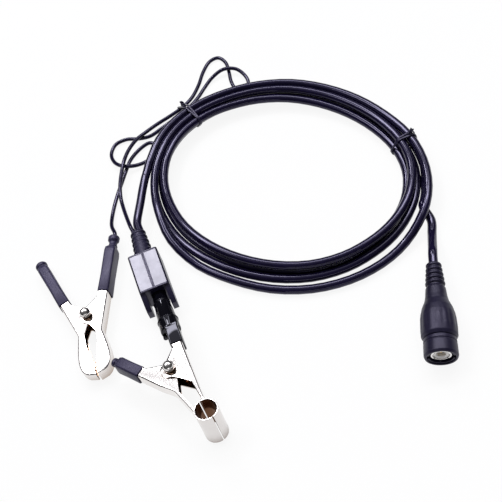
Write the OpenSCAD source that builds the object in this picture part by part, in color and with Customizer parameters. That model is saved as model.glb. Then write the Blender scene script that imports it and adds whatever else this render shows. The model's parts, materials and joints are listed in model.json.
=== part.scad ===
// Ignition pick-up probe for an oscilloscope.
// An insulated bayonet plug, a tied coil of coaxial cable, a small divider case,
// a split-sleeve pick-up clip and a ground clip on its own thin lead.
// All lengths are in millimetres. The origin is the centre of the case's base,
// +Y runs from the case towards its cable and +Z is up from the bench.

/* [Divider case] */
// Width of the case across its two halves
case_w = 13.6; // [12.6:0.2:18]
// Length of the case without its yoke
case_l = 20.6; // [18:0.2:30]
// Height of the case
case_h = 13; // [12.4:0.2:16]
// Wall of the case
case_wall = 1.3; // [0.9:0.1:1.8]
// Depth of the recess that holds each light face plate
plate_recess = 0.5; // [0.3:0.1:0.8]
// Width of the black ridge between the two face plates
seam_w = 1.2; // [0.8:0.1:2]
// Length of the two yoke legs in front of the case
yoke_l = 7.2; // [5:0.2:11]
// Thickness of each yoke leg
yoke_t = 2.3; // [1.6:0.1:2.8]
// Length of the ribbed boot behind the case
boot_l = 16.3; // [12:0.1:22]
// Number of cuts on each side of the ribbed boot
boot_cuts = 5; // [3:1:7]

/* [Cables] */
// Diameter of the coaxial cable
coax_d = 4; // [3:0.1:5]
// Diameter of the ground lead
lead_d = 1.9; // [1.4:0.1:2.4]
// Long half axis of the coil's outermost turn, on the centre line
coil_a = 68; // [60:1:90]
// Short half axis of the coil's outermost turn, on the centre line
coil_b = 54.6; // [50:0.2:75]
// Space between neighbouring turns
turn_gap = 0.42; // [0.41:0.01:0.8]
// Number of half turns in the coil
half_turns = 9; // [7:2:15]
// How far the loose outer turn lies outside the bundle
loose_out = 2; // [1.8:0.1:4]
// Thickness of the twist ties
tie_t = 0.6; // [0.4:0.1:1]
// Width of the twist ties
tie_w = 2.2; // [1.6:0.1:3.5]
// Length of a twist tie's twisted ends
tie_end_l = 2.6; // [2:0.1:6]

/* [Clips] */
// Sheet thickness of the clip halves
sheet_t = 0.6; // [0.4:0.05:0.8]
// Height of a fixed clip half across its flanges
clip_h = 7; // [6.6:0.1:9]
// Depth of the folded flanges along a handle
flange_d = 4.2; // [3.4:0.1:5]
// Distance from the clip's centre line to the back of a half at the waist
waist_x = 5.6; // [5:0.1:7]
// The same distance on the pick-up clip's fixed arm
arm_waist_x = 6.4; // [5.8:0.1:7]
// Lean of the ground clip's handles
ground_lean = 17.5; // [15:0.5:20]
// Lean of the pick-up clip's fixed half
stem_lean = 17; // [15:0.5:20]
// Lean of the pick-up clip's lever
lever_lean = 20; // [17:0.5:22]
// Diameter of the pivot rivets
pin_d = 2.4; // [2:0.1:2.8]
// Diameter of the round rivet head
ball_d = 5; // [4:0.1:6]
// Play of a moving half on its rivet, on the radius
pivot_play = 0.05; // [0.02:0.01:0.1]
// Play between a moving flange and a fixed flange
flange_play = 0.1; // [0.1:0.05:0.3]
// Wire diameter of the clip springs
spring_d = 0.8; // [0.6:0.05:0.9]
// Wall of the vinyl boots on the handles
vinyl_t = 0.5; // [0.4:0.05:0.8]
// Distance from the pivot to the tip of the ground jaws
jaw_l = 29.8; // [26:0.2:34]
// Distance from the pivot to the axis of the pick-up sleeve
sleeve_reach = 26; // [24:0.5:32]
// Bore radius of the pick-up sleeve
sleeve_r = 4.35; // [3.8:0.05:5]
// Wall of the pick-up sleeve
sleeve_t = 0.6; // [0.4:0.05:0.9]
// Length of the pick-up sleeve
sleeve_l = 18; // [12:0.5:20]
// Width of the slit between the two halves of the sleeve
slit_w = 0.5; // [0.4:0.1:1.2]
// Reach of the pick-up clip's fixed handle behind its pivot
pickup_handle = 22.5; // [21:0.5:25]
// Reach of the pick-up clip's lever behind its pivot
lever_handle = 18.6; // [14:0.2:21]
// Reach of the ground clip's handles behind its pivot
ground_handle = 31.5; // [24:0.5:40]
// Rise of the pick-up clip from the case towards its sleeve
clip_rise = 7; // [4:0.5:9]

/* [Plug] */
// Radius of the plug's hood
hood_r = 7.5; // [7.3:0.1:10]
// Length of the plug from its cable end to its front
plug_l = 43.5; // [42:0.5:50]
// Radius of the turning grip ring
grip_r = 6.85; // [6.75:0.05:7.1]
// Length of the turning grip ring
grip_l = 7.9; // [6:0.1:10]
// Bore radius of the bayonet sleeve
bayonet_r = 4.9; // [4.8:0.05:5.1]
// Outside radius of the slotted outer contact
contact_r = 4.05; // [3.9:0.05:4.2]
// Travel of the bayonet sleeve against its wave spring
plug_travel = 0.8; // [0.3:0.1:1]
// Number of grooves round the plug's tail
plug_grooves = 5; // [3:1:7]

/* [Hidden] */
fine = 96;

BLACK = [0.06, 0.05, 0.09];
VINYL = [0.16, 0.15, 0.24];
NICKEL = [0.80, 0.79, 0.80];
PLATE = [0.82, 0.82, 0.86];
GOLD = [0.83, 0.68, 0.33];
WHITE = [0.93, 0.92, 0.90];
GREEN = [0.10, 0.35, 0.18];

// Shared places
axis_z = case_h / 2;                       // axis of the case, its boot and its stem
boot_end_y = case_l / 2 + boot_l;          // rear face of the ribbed boot
coax_exit = [1.8, boot_end_y, axis_z];
lead_exit = [-1.2, boot_end_y, axis_z];
pickup_pivot = [-4.7, -52, axis_z + (52 - case_l / 2) * tan(clip_rise)];
pickup_turn = 19;                          // centre line of the pick-up clip, from +Y towards -X
ground_floor = 0.8;                        // rivet foot under the ground clip
ground_pivot = [-32.1, -6.6, ground_floor + clip_h / 2];
ground_turn = -5;
plug_tail = [112.4, -48.5, hood_r];        // cable end of the plug
plug_turn = -22;
waist_y = 8.5;                             // waist of a clip half, in front of its pivot
inner_h = clip_h - 2 * sheet_t - 2 * flange_play;
ear_r = 3.9;
handle_start = 8;                          // where a handle's flanges become straight, from the pivot
ground_boot_start = 9.7;
lever_boot_start = 8.2;
lead_boot_end = ground_handle / cos(ground_lean) + 7.5;
lever_boot_end = ground_handle / cos(ground_lean) + 5;
sleeve_out = sleeve_r + sleeve_t;

// ---------- small helpers ----------
function unit(v) = v / norm(v);
function smooth(x) = let(t = min(1, max(0, x))) t * t * (3 - 2 * t);
function last(v) = v[len(v) - 1];

// Heading of a path at point i
function heading(p, i) =
    i == 0 ? unit(p[1] - p[0])
    : i == len(p) - 1 ? unit(p[i] - p[i - 1])
    : unit(unit(p[i + 1] - p[i]) + unit(p[i] - p[i - 1]));

// One ring of a tube, square to the path
function tube_ring(p, i, r, sides, ref) =
    let(t = heading(p, i), side = unit(cross(t, ref)), up = cross(side, t))
    [for (k = [0 : sides - 1])
        let(a = 360 * (k + 0.5) / sides) p[i] + r * (cos(a) * side + sin(a) * up)];

// A tube swept along a path, as one closed solid of triangles
module tube(p, d, sides, ref = [0, 0, 1]) {
    rings = len(p);
    points = [for (i = [0 : rings - 1]) each tube_ring(p, i, d / 2, sides, ref)];
    walls = [for (i = [0 : rings - 2], k = [0 : sides - 1])
        let(a = i * sides + k, b = i * sides + (k + 1) % sides, c = a + sides, e = b + sides)
        each [[a, b, e], [a, e, c]]];
    base = (rings - 1) * sides;
    caps = [for (k = [1 : sides - 2]) each [[0, k + 1, k], [base, base + k, base + k + 1]]];
    polyhedron(points = points, faces = [for (f = concat(walls, caps)) [f[0], f[2], f[1]]], convexity = 10);
}

// Offsets a plane outline to its left by t, point by point
function plane_heading(p, i) = unit(p[min(len(p) - 1, i + 1)] - p[max(0, i - 1)]);
function beside(p, t) = [for (i = [0 : len(p) - 1])
    let(h = plane_heading(p, i)) p[i] + t * [-h[1], h[0]]];
function reversed(p) = [for (i = [len(p) - 1 : -1 : 0]) p[i]];

// A solid of revolution about the Z axis from points [radius, height]
module turned(profile) { rotate_extrude($fn = fine) polygon(profile); }

// ---------- coil of coaxial cable ----------
coil_centre = [72.4, 26.4];
coil_tilt = -50;
coil_start = 20;                           // where the plug's lead leaves the oval, degrees round it
turn_rings = 24;
turn_pitch = coax_d + turn_gap;
coil_floor = tie_t + 0.05;                 // the ties lie under the bundle
coil_steps = half_turns * turn_rings / 2;
coil_middle = coil_start + half_turns * 90;  // where the spiral reverses
coil_end = coil_start + half_turns * 180;
// How far the whole bundle lies inside its oval, by place round it
bundle_drift = [[0, 2.6], [12, 1.9], [24, 0.2], [36, -1.2], [48, -2], [110, -2], [132, -0.6], [144, 0.3],
    [196, 0.3], [228, -0.7], [246, -1.4], [264, -1.2], [300, -0.3], [312, 0.6], [324, 1.8], [336, 2.8],
    [348, 3], [360, 2.6]];
// One stretch of the last turn lies loose on the bench: degrees before the end, how far inside the oval
loose_depth = [[-345, 3], [-330, 0.8], [-315, -loose_out - 0.4], [-300, -loose_out - 0.8],
    [-285, -loose_out - 0.3], [-270, -loose_out - 0.4], [-255, -loose_out + 0.1], [-240, -0.9], [-225, 0.1],
    [-210, 0.4], [-195, -0.4], [-180, -0.6], [-165, -0.8], [-150, -1]];
// and how far down it lies, from the top layer to the bench
loose_fall = [[-345, 0], [-330, 0], [-315, 0.4], [-300, 1], [-225, 1], [-210, 0.82], [-195, 0.1], [-180, 0]];

function oval(u) = [coil_a * cos(u), coil_b * sin(u)];
function oval_normal(u) = unit([coil_b * cos(u), coil_a * sin(u)]);
function turned_by(v, a) = [v[0] * cos(a) - v[1] * sin(a), v[0] * sin(a) + v[1] * cos(a)];
function in_loose(u) = u >= coil_end + loose_depth[0][0] && u <= coil_end + last(loose_depth)[0];
// How far a turn lies inside the outermost one, and how high
function wound_in(u) = turn_pitch * (min(u, 2 * coil_middle - u) - coil_start) / 360;
function depth_at(u) = in_loose(u) ? lookup(u - coil_end, loose_depth)
    : wound_in(u) + lookup(u % 360, bundle_drift);
function height_at(u) =
    let(low = coil_floor + coax_d / 2, climb = smooth((u - coil_middle + 90) / 180),
        fall = lookup(u - coil_end, loose_fall))
    (low + turn_pitch * climb) * (1 - fall) + coax_d / 2 * fall;
function coil_at(u) =
    let(p = coil_centre + turned_by(oval(u) - depth_at(u) * oval_normal(u), coil_tilt))
    [p[0], p[1], height_at(u)];
coil_turns = [for (i = [0 : coil_steps]) coil_at(coil_start + 360 * i / turn_rings)];
coil_first = coil_turns[0] + coax_d * unit(coil_turns[0] - coil_turns[1]);
coil_last = last(coil_turns) + coax_d * unit(last(coil_turns) - coil_turns[coil_steps - 1]);
coil_path = concat([coil_first], coil_turns, [coil_last]);

// Least gap between one turn and another, measured between ring centres
coil_gap = min([for (i = [0 : coil_steps - turn_rings / 2], j = [i + turn_rings / 2 : coil_steps])
    norm(coil_turns[i] - coil_turns[j])]) - coax_d;
function run_length(p) = len(p) < 2 ? 0
    : [for (i = 0, s = 0; i < len(p); i = i + 1, s = s + (i < len(p) ? norm(p[i] - p[i - 1]) : 0))
        s][len(p) - 1];

// ---------- free stretches, as points chosen by hand ----------
case_lead_route = [
    [12.4, 54.6, 7.1], [9.4, 48.4, 7.0], [6.7, 42.4, 6.8], [4.3, 37.4, 6.6], [2.6, 33.6, 6.5]
];
plug_lead_route = [
    [122.9, -24.6, 2.2], [120.1, -31.2, 2.5], [118, -35.8, 4.1], [116.2, -39.8, 6], [115, -42.4, 7.2]
];
ground_route = [
    [-1.6, 32, 6.3], [-1.9, 39, 4.8], [-2, 46, 3.4], [-1.6, 53, 2.9], [0, 59.5, 3.6], [2.9, 66, 4.9],
    [6.4, 73, 5.2], [10.5, 79.5, 4.2], [15.5, 84.6, 3.2], [21.5, 88, 2.2], [28, 90.8, 1.6], [36, 92.8, 1.7],
    [43, 95.2, 1.7], [49.4, 99.6, 1.2], [55.2, 106.4, 1], [60.2, 114, 1], [65.6, 119.6, 1], [70.8, 120, 1],
    [73.2, 114.6, 1], [72.6, 107.6, 1], [71.4, 100.6, 1], [71.8, 94.8, 1], [75.4, 92.2, 1], [79, 95, 1],
    [79, 100.6, 1.6], [76, 106, 2.8], [70, 108.6, 3], [63.4, 107.4, 1.6], [57.6, 103.2, 1], [51.8, 97.6, 1.2],
    [45, 92.8, 1.7], [37, 89.6, 1.7], [29.6, 87.4, 1.2], [22.6, 85.4, 1], [16.4, 86.6, 1], [10.6, 89.2, 1],
    [4.6, 88.6, 1], [0.9, 83.4, 1], [1.2, 76.6, 2], [4.4, 71.4, 3.1], [10, 69.4, 2.3], [16, 70.4, 1],
    [21, 73, 1], [23.6, 77.2, 1], [20.8, 81.2, 1], [15, 79.6, 1], [9, 75.2, 1], [4.8, 69.2, 1], [1.2, 63.4, 1],
    [-2.4, 57.6, 1], [-6, 51, 1], [-8.8, 44.4, 1.4], [-10, 38.6, 2.8]
];

// ---------- twist ties, squeezed round the bundle ----------
module tie(u, wires_out) {
    passes = [for (v = [u : 360 : coil_end]) depth_at(v)];
    in = max(passes) + coax_d / 2 + 0.3;
    out = max(wires_out, coax_d / 2 + 0.3 - min(passes));
    c = coil_centre + turned_by(oval(u), coil_tilt);
    n = turned_by(oval_normal(u), coil_tilt);
    top = coil_floor + coax_d + turn_pitch + 0.15;
    color(BLACK) translate([c[0], c[1], 0]) rotate([0, 0, atan2(n[1], n[0])]) {
        rotate([90, 0, 0]) translate([0, 0, -tie_w / 2]) linear_extrude(tie_w) difference() {
            band(-in - tie_t, out + tie_t, 0, top + tie_t, 2);
            band(-in, out, tie_t, top, 1.5);
        }
        // Twisted ends
        translate([out + 0.4 * tie_t, 0, 5.4]) rotate([0, 55, 0])
            linear_extrude(tie_end_l, twist = 540, slices = 12) square([2 * tie_t + 0.6, 1.3], center = true);
    }
}

// Box outline with cut corners
module band(x0, x1, y0, y1, c) {
    polygon([[x0 + c, y0], [x1 - c, y0], [x1, y0 + c], [x1, y1 - c], [x1 - c, y1], [x0 + c, y1], [x0, y1 - c],
        [x0, y0 + c]]);
}

// ---------- divider case ----------
// Cross-section of one half, from the joint face at x = 0
module half_outline(w, h, c) {
    polygon([[0, 0], [w - c, 0], [w, c], [w, h - c], [w - c, h], [0, h]]);
}

module case_half() {
    w = case_w / 2;
    front = -case_l / 2;
    difference() {
        union() {
            translate([0, case_l / 2, 0]) rotate([90, 0, 0]) linear_extrude(case_l)
                half_outline(w, case_h, 0.7);
            // Yoke leg, lower towards its tip
            translate([w - yoke_t, front, 0]) rotate([90, 0, 90]) linear_extrude(yoke_t)
                polygon([[0.5, 0.6], [0.5, case_h - 1.2], [-0.6, case_h - 1.6], [-yoke_l + 1.6, axis_z + 2.4],
                    [-yoke_l, axis_z + 0.8], [-yoke_l, 2.6], [-yoke_l + 1.4, 0.6]]);
        }
        // Chamber
        translate([-1, front + front_wall, case_wall])
            cube([1 + w - case_wall, case_l - case_wall - front_wall, case_h - 2 * case_wall - plate_recess]);
        // Recess for the face plate
        translate([seam_w / 2, front + 0.8, case_h - plate_recess])
            cube([w - seam_w / 2 - 0.7, case_l - 1.6, plate_recess + 1]);
        // Hole for the cable boot
        translate([0, case_l / 2 - case_wall - 1, axis_z]) rotate([-90, 0, 0])
            cylinder(r = boot_root_r, h = case_wall + 2, $fn = fine);
    }
}

// Round seat of the stem in the front wall
module stem_seat() {
    on_stem() translate([0, 0, stem_back - 4]) cylinder(r = stem_neck_r + 0.1, h = 8, $fn = fine);
}

module case_right() {
    color(BLACK) difference() {
        case_half();
        stem_seat();
    }
}

module case_left() {
    color(BLACK) difference() {
        mirror([1, 0, 0]) case_half();
        stem_seat();
    }
}

module face_plate() {
    w = case_w / 2 - seam_w / 2 - 0.7;
    translate([seam_w / 2, -case_l / 2 + 0.8, case_h - plate_recess])
        cube([w, case_l - 1.6, plate_recess - 0.1]);
}

module face_plate_right() { color(PLATE) face_plate(); }
module face_plate_left() { color(PLATE) mirror([1, 0, 0]) face_plate(); }

front_wall = case_wall + 0.7;
boot_root_r = 4.1;
boot_root = [9.2, 8.6];
boot_tip = [7, 5.6];
boot_drift = 0.7;                          // sideways lean of the boot towards its tip
boot_cut = [3.2, 1, 7.2];

// Ribbed strain relief with a smooth spine along its top and bottom
module case_cable_boot() {
    y0 = case_l / 2;
    cut_pitch = (boot_l - 5) / boot_cuts;
    color(VINYL) difference() {
        union() {
            on_boot(-case_wall) cylinder(r = boot_root_r, h = case_wall, $fn = fine);
            on_boot(-case_wall - 1) cylinder(r = boot_root_r + 0.5, h = 1, $fn = fine);
            on_boot(0) hull() {
                linear_extrude(2.4) boot_section(boot_root);
                translate([boot_drift, 0, boot_l - 0.6]) linear_extrude(0.6) boot_section(boot_tip);
            }
        }
        for (i = [0 : boot_cuts - 1], side = [-1, 1])
            translate([0.3 + side * 4.9, y0 + 3.9 + i * cut_pitch, axis_z]) cube(boot_cut, center = true);
        on_boot(-6) translate([coax_exit[0], 0, 0]) cylinder(d = coax_d, h = boot_l + 7, $fn = fine);
        on_boot(-6) translate([lead_exit[0], 0, 0]) cylinder(d = lead_d, h = boot_l + 7, $fn = fine);
    }
}

// Boot axis: z runs from the case's rear face, plus a shift, towards the cable
module on_boot(shift) { translate([0, case_l / 2 + shift, axis_z]) rotate([-90, 0, 0]) children(); }

module boot_section(size) {
    scale([size[0] / size[1], 1]) circle(d = size[1], $fn = 32);
}

module coax_tail_case() {
    color(BLACK) translate([coax_exit[0], case_l / 2 - 4.6, axis_z]) rotate([-90, 0, 0])
        cylinder(d = coax_d, h = boot_l + 4.6, $fn = fine);
}

module ground_tail_case() {
    color(BLACK) translate([lead_exit[0], case_l / 2 - 4.6, axis_z]) rotate([-90, 0, 0])
        cylinder(d = lead_d, h = boot_l + 4.6, $fn = fine);
}

board_t = 1;
board_z = 3.6;
module circuit_board() {
    color(GREEN) translate([-(case_w / 2 - case_wall - 0.3), -case_l / 2 + 4.4, board_z])
        cube([case_w - 2 * case_wall - 0.6, case_l - 10.6, board_t]);
}

module series_capacitor() {
    color("chocolate") translate([-2.6, -case_l / 2 + 7, board_z + board_t]) rotate([0, 0, 90]) {
        translate([0, 0, 2.4]) rotate([90, 0, 0]) cylinder(r = 2.1, h = 1.8, $fn = fine);
        for (x = [-1.3, 1.3]) translate([x, -0.9, 0]) cylinder(r = 0.25, h = 1.2, $fn = 24);
    }
}

module shunt_capacitor() {
    color("sandybrown") translate([0.9, -case_l / 2 + 5.6, board_z + board_t]) cube([3, 2, 1.6]);
}

module damping_resistor() {
    color("steelblue") translate([2.4, -case_l / 2 + 9.4, board_z + board_t + 0.9]) rotate([-90, 0, 0]) {
        cylinder(r = 0.85, h = 3.6, $fn = fine);
        translate([0, 0, -0.5]) cylinder(r = 0.25, h = 4.6, $fn = 24);
    }
}

// ---------- stem between the case and the pick-up clip ----------
stem_neck_r = 3.2;
stem_x = -pickup_pivot[0] + 0.5;           // stem axis, to the right of the pivot
stem_back = (-case_l / 2 - pickup_pivot[1]) / cos(clip_rise);  // case front, along the clip's plane
stem_nose = 11.2;                          // front of the stem's nose, behind the pivot
nose_l = 9.1;
nose_size = [5.6, 7.8];
nose_x = stem_x + 0.8;                     // the nose sits to the right of the stem's axis
stem_r = 4.4;                              // widest radius of the stem's barrel
collar_l = 5.4;                            // wide part of the barrel, up to its first ridge
ridge_t = 0.2;                             // how far the two thin ridges stand out
wire_r = 0.75;
// Rear end of the fixed arm, along the stem's axis
arm_end = (arm_waist_x + waist_y * tan(stem_lean)) * sin(pickup_turn)
    + pickup_handle / cos(stem_lean) * cos(pickup_turn - stem_lean);
wire_lap = 1.9;                            // the signal wire starts this far inside the arm's channel
wire_start = arm_end - wire_lap;

module in_pickup_plane() { translate(pickup_pivot) rotate([-clip_rise, 0, 0]) children(); }
module in_pickup_clip() { in_pickup_plane() rotate([0, 0, pickup_turn]) children(); }
// Stem axis: z runs from beside the pivot towards the case
module on_stem() { in_pickup_plane() translate([stem_x, 0, 0]) rotate([-90, 0, 0]) children(); }

module stem_boot() {
    front = stem_nose + nose_l;            // where the round barrel begins
    back = stem_back - 2.2;                // shoulder in front of the case
    seat = stem_back + front_wall + 0.6;   // inner flange, behind the case's front wall
    color(BLACK) difference() {
        union() {
            // Round body, wider towards the clip, with two thin ridges and an inner flange
            on_stem() turned(concat(
                [[0, front], [stem_r - 0.15, front], [stem_r, front + 0.8]],
                ridge(stem_r - 0.1, front + collar_l, ridge_t + 0.1),
                ridge(stem_neck_r + 0.3, back - 3.6, ridge_t),
                [[stem_neck_r + 0.1, back], [stem_neck_r, back], [stem_neck_r, seat],
                 [stem_neck_r + 0.9, seat], [stem_neck_r + 0.9, seat + 1], [0, seat + 1]]));
            // Square nose round the end of the fixed arm
            in_pickup_plane() translate([nose_x - nose_size[0] / 2, stem_nose, -nose_size[1] / 2])
                cube([nose_size[0], nose_l + 1, nose_size[1]]);
            // Side knuckle
            in_pickup_plane() translate([stem_x - 3.1, front + 0.4, -1.6]) rotate([90, 0, 0])
                cylinder(r = 1.1, h = 1.6, $fn = fine);
        }
        // Slot that takes the arm's end
        in_pickup_clip() arm_slot();
        // Passage for the signal wire
        on_stem() translate([0, 0, wire_start - 0.1])
            cylinder(r = wire_r + 0.05, h = seat + 2 - wire_start, $fn = fine);
    }
}

// Thin ridge round a turned piece of radius r, from height z on
function ridge(r, z, rise) = [[r, z], [r + rise, z + 0.2], [r + rise, z + 0.6], [r - 0.1, z + 0.8]];

module arm_slot() {
    end = pickup_handle / cos(stem_lean) + 0.5;
    on_handle(stem_lean, arm_waist_x) translate([-flange_d - 0.05, handle_start, -clip_h / 2 - 0.05])
        cube([flange_d + 0.1, end - handle_start, clip_h + 0.1]);
}

module signal_wire() {
    color("firebrick") on_stem() translate([0, 0, wire_start])
        cylinder(r = wire_r, h = stem_back + front_wall + 2.6 - wire_start, $fn = fine);
}

// ---------- clip halves ----------
// Frame of a handle: x = 0 is its back and y runs along it from beside the pivot
module on_handle(lean, waist = waist_x) {
    translate([waist + waist_y * tan(lean), 0, 0]) rotate([0, 0, -lean]) children();
}

function back_x(lean, y, waist = waist_x) = waist + (waist_y + y) * tan(lean);

// Back line of a half, from the end of its handle towards its jaw
function straight_back(lean, handle, y_end, waist) =
    [[back_x(lean, handle, waist), handle], [back_x(lean, y_end, waist), y_end]];
function bezier(a, b, c, d, t) =
    (1 - t) ^ 3 * a + 3 * (1 - t) ^ 2 * t * b + 3 * (1 - t) * t ^ 2 * c + t ^ 3 * d;
function beak_back(lean, handle, tip) = concat(
    [[back_x(lean, handle), handle]],
    [for (i = [0 : 10]) bezier([waist_x, -waist_y], [waist_x + 0.7, -waist_y - 0.32 * (tip - waist_y)],
        [waist_x + 5.2, -tip + 0.6], [0.5, -tip], i / 10)]);

// Folded half of a clip: back, two flanges and two ears. back is its line and edge the
// inner edge of its flanges in front of the pivot.
module clip_half(back, edge, lean, h, bore_r, waist = waist_x) {
    strip = concat(back, reversed(beside(back, -sheet_t)));
    handle = back[0][1];
    reach = flange_d / cos(lean);
    plate = concat(beside(back, -0.01), reversed(edge),
        [[0.5, 0.99 * ear_r], [back_x(lean, handle_start, waist) - reach, handle_start],
         [back_x(lean, handle, waist) - reach, handle]]);
    difference() {
        union() {
            translate([0, 0, -h / 2]) linear_extrude(h) polygon(strip);
            for (z = [-h / 2, h / 2 - sheet_t]) translate([0, 0, z]) {
                linear_extrude(sheet_t) polygon(plate);
                cylinder(r = ear_r, h = sheet_t, $fn = fine);
            }
        }
        translate([0, 0, -h]) cylinder(r = bore_r, h = 2 * h, $fn = fine);
    }
}

// Rivet with a round upper head
module pivot_rivet(foot) {
    color(NICKEL) {
        translate([0, 0, -clip_h / 2 - 0.01]) cylinder(d = pin_d, h = clip_h + 0.5, $fn = fine);
        translate([0, 0, -clip_h / 2 - foot]) cylinder(r = 2.1, h = foot, $fn = fine);
        intersection() {
            translate([0, 0, clip_h / 2 + ball_d / 2 - 0.5]) sphere(d = ball_d, $fn = fine);
            translate([-ball_d, -ball_d, clip_h / 2]) cube(2 * ball_d);
        }
    }
}

// Torsion spring wound round the rivet, with a leg along each handle
module clip_spring() {
    r = pin_d / 2 + spring_d / 2 + 0.5;
    lean = 40;
    sweep = 820;
    steps = 34;
    rise = spring_d + 0.45;
    h = rise * sweep / 360;
    leg = 11.4;
    coils = [for (i = [0 : steps]) let(a = -lean - sweep * i / steps)
        [r * cos(a), r * sin(a), h / 2 - h * i / steps]];
    start = coils[0] + leg * [sin(lean), cos(lean), 0];
    end = last(coils) + leg * [-sin(lean), cos(lean), 0];
    color("silver") tube(concat([start], coils, [end]), spring_d, 6);
}

// Vinyl boot round a handle, between two distances along it
module handle_boot(lean, h, from, to) {
    t = vinyl_t;
    on_handle(lean) difference() {
        translate([-flange_d - t, from, 0]) rotate([-90, 0, 0]) linear_extrude(to - from)
            translate([0, -h / 2 - t]) band(0, flange_d + 2 * t, 0, h + 2 * t, 0.9);
        translate([-flange_d - 0.01, from - 1, -h / 2 - 0.01]) cube([flange_d + 0.02, to - from, h + 0.02]);
    }
}

// ---------- pick-up clip ----------
function sleeve_y() = -sleeve_reach + sqrt(sleeve_out ^ 2 - 2 ^ 2);

module sleeve_cut() {
    translate([0, -sleeve_reach, -clip_h]) cylinder(r = sleeve_out, h = 2 * clip_h, $fn = fine);
}

ear_foot = [0.3, -5.7];                    // where the flanges leave the ears in front of the pivot
throat_y = -11;                            // where they have drawn back to the sheet's own depth
arm_edge = 0.9;                            // depth of the flanges beyond the throat
lever_edge = 1.2;
stop_y = -12;                              // the halves clear each other's side in front of this

module pickup_fixed_arm() {
    back = straight_back(stem_lean, pickup_handle, sleeve_y() - 1, arm_waist_x);
    edge = [ear_foot, [back_x(stem_lean, throat_y, arm_waist_x) - 2.2, throat_y],
        [back_x(stem_lean, sleeve_y() + 1, arm_waist_x) - arm_edge, sleeve_y() + 1]];
    color(NICKEL) in_pickup_clip() difference() {
        clip_half(back, edge, stem_lean, clip_h, pin_d / 2, arm_waist_x);
        sleeve_cut();
        stop_cut();
    }
}

// Clears the far half's side of the centre line in front of the ears
module stop_cut() {
    translate([-10.15, -sleeve_reach - 5, -clip_h]) cube([10, sleeve_reach + 5 + stop_y, 2 * clip_h]);
}

module pickup_lever() {
    back = [[back_x(lever_lean, lever_handle), lever_handle], [waist_x - 1, throat_y + 0.6],
        [waist_x - 1.4, -sleeve_reach + 1.5]];
    edge = [ear_foot, [waist_x - 2.5, throat_y], [waist_x - 1.4 - lever_edge, -sleeve_reach + 3.5]];
    color(NICKEL) in_pickup_clip() mirror([1, 0, 0]) difference() {
        clip_half(back, edge, lever_lean, inner_h, pin_d / 2 + pivot_play);
        sleeve_cut();
        stop_cut();
    }
}

// Half of the sleeve; side is +1 for the fixed half and -1 for the moving one
module half_sleeve(side) {
    translate([0, -sleeve_reach, clip_h / 2 + 0.5 - sleeve_l]) difference() {
        cylinder(r = sleeve_out, h = sleeve_l, $fn = fine);
        translate([0, 0, -1]) cylinder(r = sleeve_r, h = sleeve_l + 2, $fn = fine);
        translate([side > 0 ? -10 : -slit_w / 2, -10, -1]) cube([10 + slit_w / 2, 20, sleeve_l + 2]);
    }
}

module pickup_fixed_sleeve() { color(NICKEL) in_pickup_clip() half_sleeve(1); }
module pickup_moving_sleeve() { color(NICKEL) in_pickup_clip() half_sleeve(-1); }
module pickup_pivot_rivet() { in_pickup_clip() pivot_rivet(0.6); }
module pickup_spring() { in_pickup_clip() clip_spring(); }

module pickup_lever_boot() {
    end = lever_handle / cos(lever_lean) + 1.1;
    color(VINYL) in_pickup_clip() mirror([1, 0, 0]) {
        handle_boot(lever_lean, inner_h, lever_boot_start, end);
        // Round nub at its end
        on_handle(lever_lean) translate([-flange_d / 2, end, 0]) rotate([-90, 0, 0]) {
            cylinder(r = 1.7, h = 1.2, $fn = fine);
            translate([0, 0, 1.2]) cylinder(r = 1.9, h = 1.6, $fn = fine);
        }
    }
}

// ---------- ground clip ----------
module in_ground_clip() { translate(ground_pivot) rotate([0, 0, ground_turn]) children(); }

// Inner edge of the jaw's flanges, with a few teeth near the tip
tooth_pitch = 1.5;
teeth = 5;
tooth_run = 8.9;                           // from the first tooth to the tip
jaw_edge = concat([[0.6, -4.9], [2.7, -9], [2.6, -14.6], [1.7, tooth_run - jaw_l + 0.9]],
    [for (i = [0 : teeth - 1], y = tooth_run - jaw_l - tooth_pitch * i)
        each [[0.85 - 0.1 * i, y], [1.3 - 0.1 * i, y - 0.8]]],
    [[0.5, 1.2 - jaw_l]]);

module ground_fixed_jaw() {
    color(NICKEL) in_ground_clip()
        clip_half(beak_back(ground_lean, ground_handle, jaw_l), jaw_edge, ground_lean, clip_h, pin_d / 2);
}

module ground_moving_jaw() {
    color(NICKEL) in_ground_clip() mirror([1, 0, 0])
        clip_half(beak_back(ground_lean, ground_handle, jaw_l), jaw_edge, ground_lean, inner_h,
            pin_d / 2 + pivot_play);
}

module ground_pivot_rivet() { in_ground_clip() pivot_rivet(ground_floor); }
module ground_spring() { in_ground_clip() clip_spring(); }

// Boot that carries the lead: body, neck and end collar
module ground_lead_boot() {
    body_end = lead_boot_end - 6;
    color(VINYL) in_ground_clip() difference() {
        union() {
            handle_boot(ground_lean, clip_h, ground_boot_start, body_end);
            on_handle(ground_lean) translate([-flange_d / 2, body_end, 0]) rotate([-90, 0, 0])
                turned([[0, 0], [2.5, 0], [1.9, 1.6], [1.9, 2.4], [2.6, 3.4], [2.6, 5.2], [2.1, 6], [0, 6]]);
        }
        on_handle(ground_lean) translate([-flange_d / 2, body_end - 2, 0]) rotate([-90, 0, 0])
            cylinder(d = lead_d, h = 9, $fn = fine);
    }
}

module ground_lever_boot() {
    body_end = lever_boot_end - 2.4;
    color(VINYL) in_ground_clip() mirror([1, 0, 0]) {
        handle_boot(ground_lean, inner_h, ground_boot_start, body_end);
        on_handle(ground_lean) translate([-flange_d / 2, body_end, 0]) rotate([-90, 0, 0])
            turned([[0, 0], [2.3, 0], [2.55, 0.6], [2.55, 1.6], [1.9, 2.4], [0, 2.4]]);
    }
}

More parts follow.
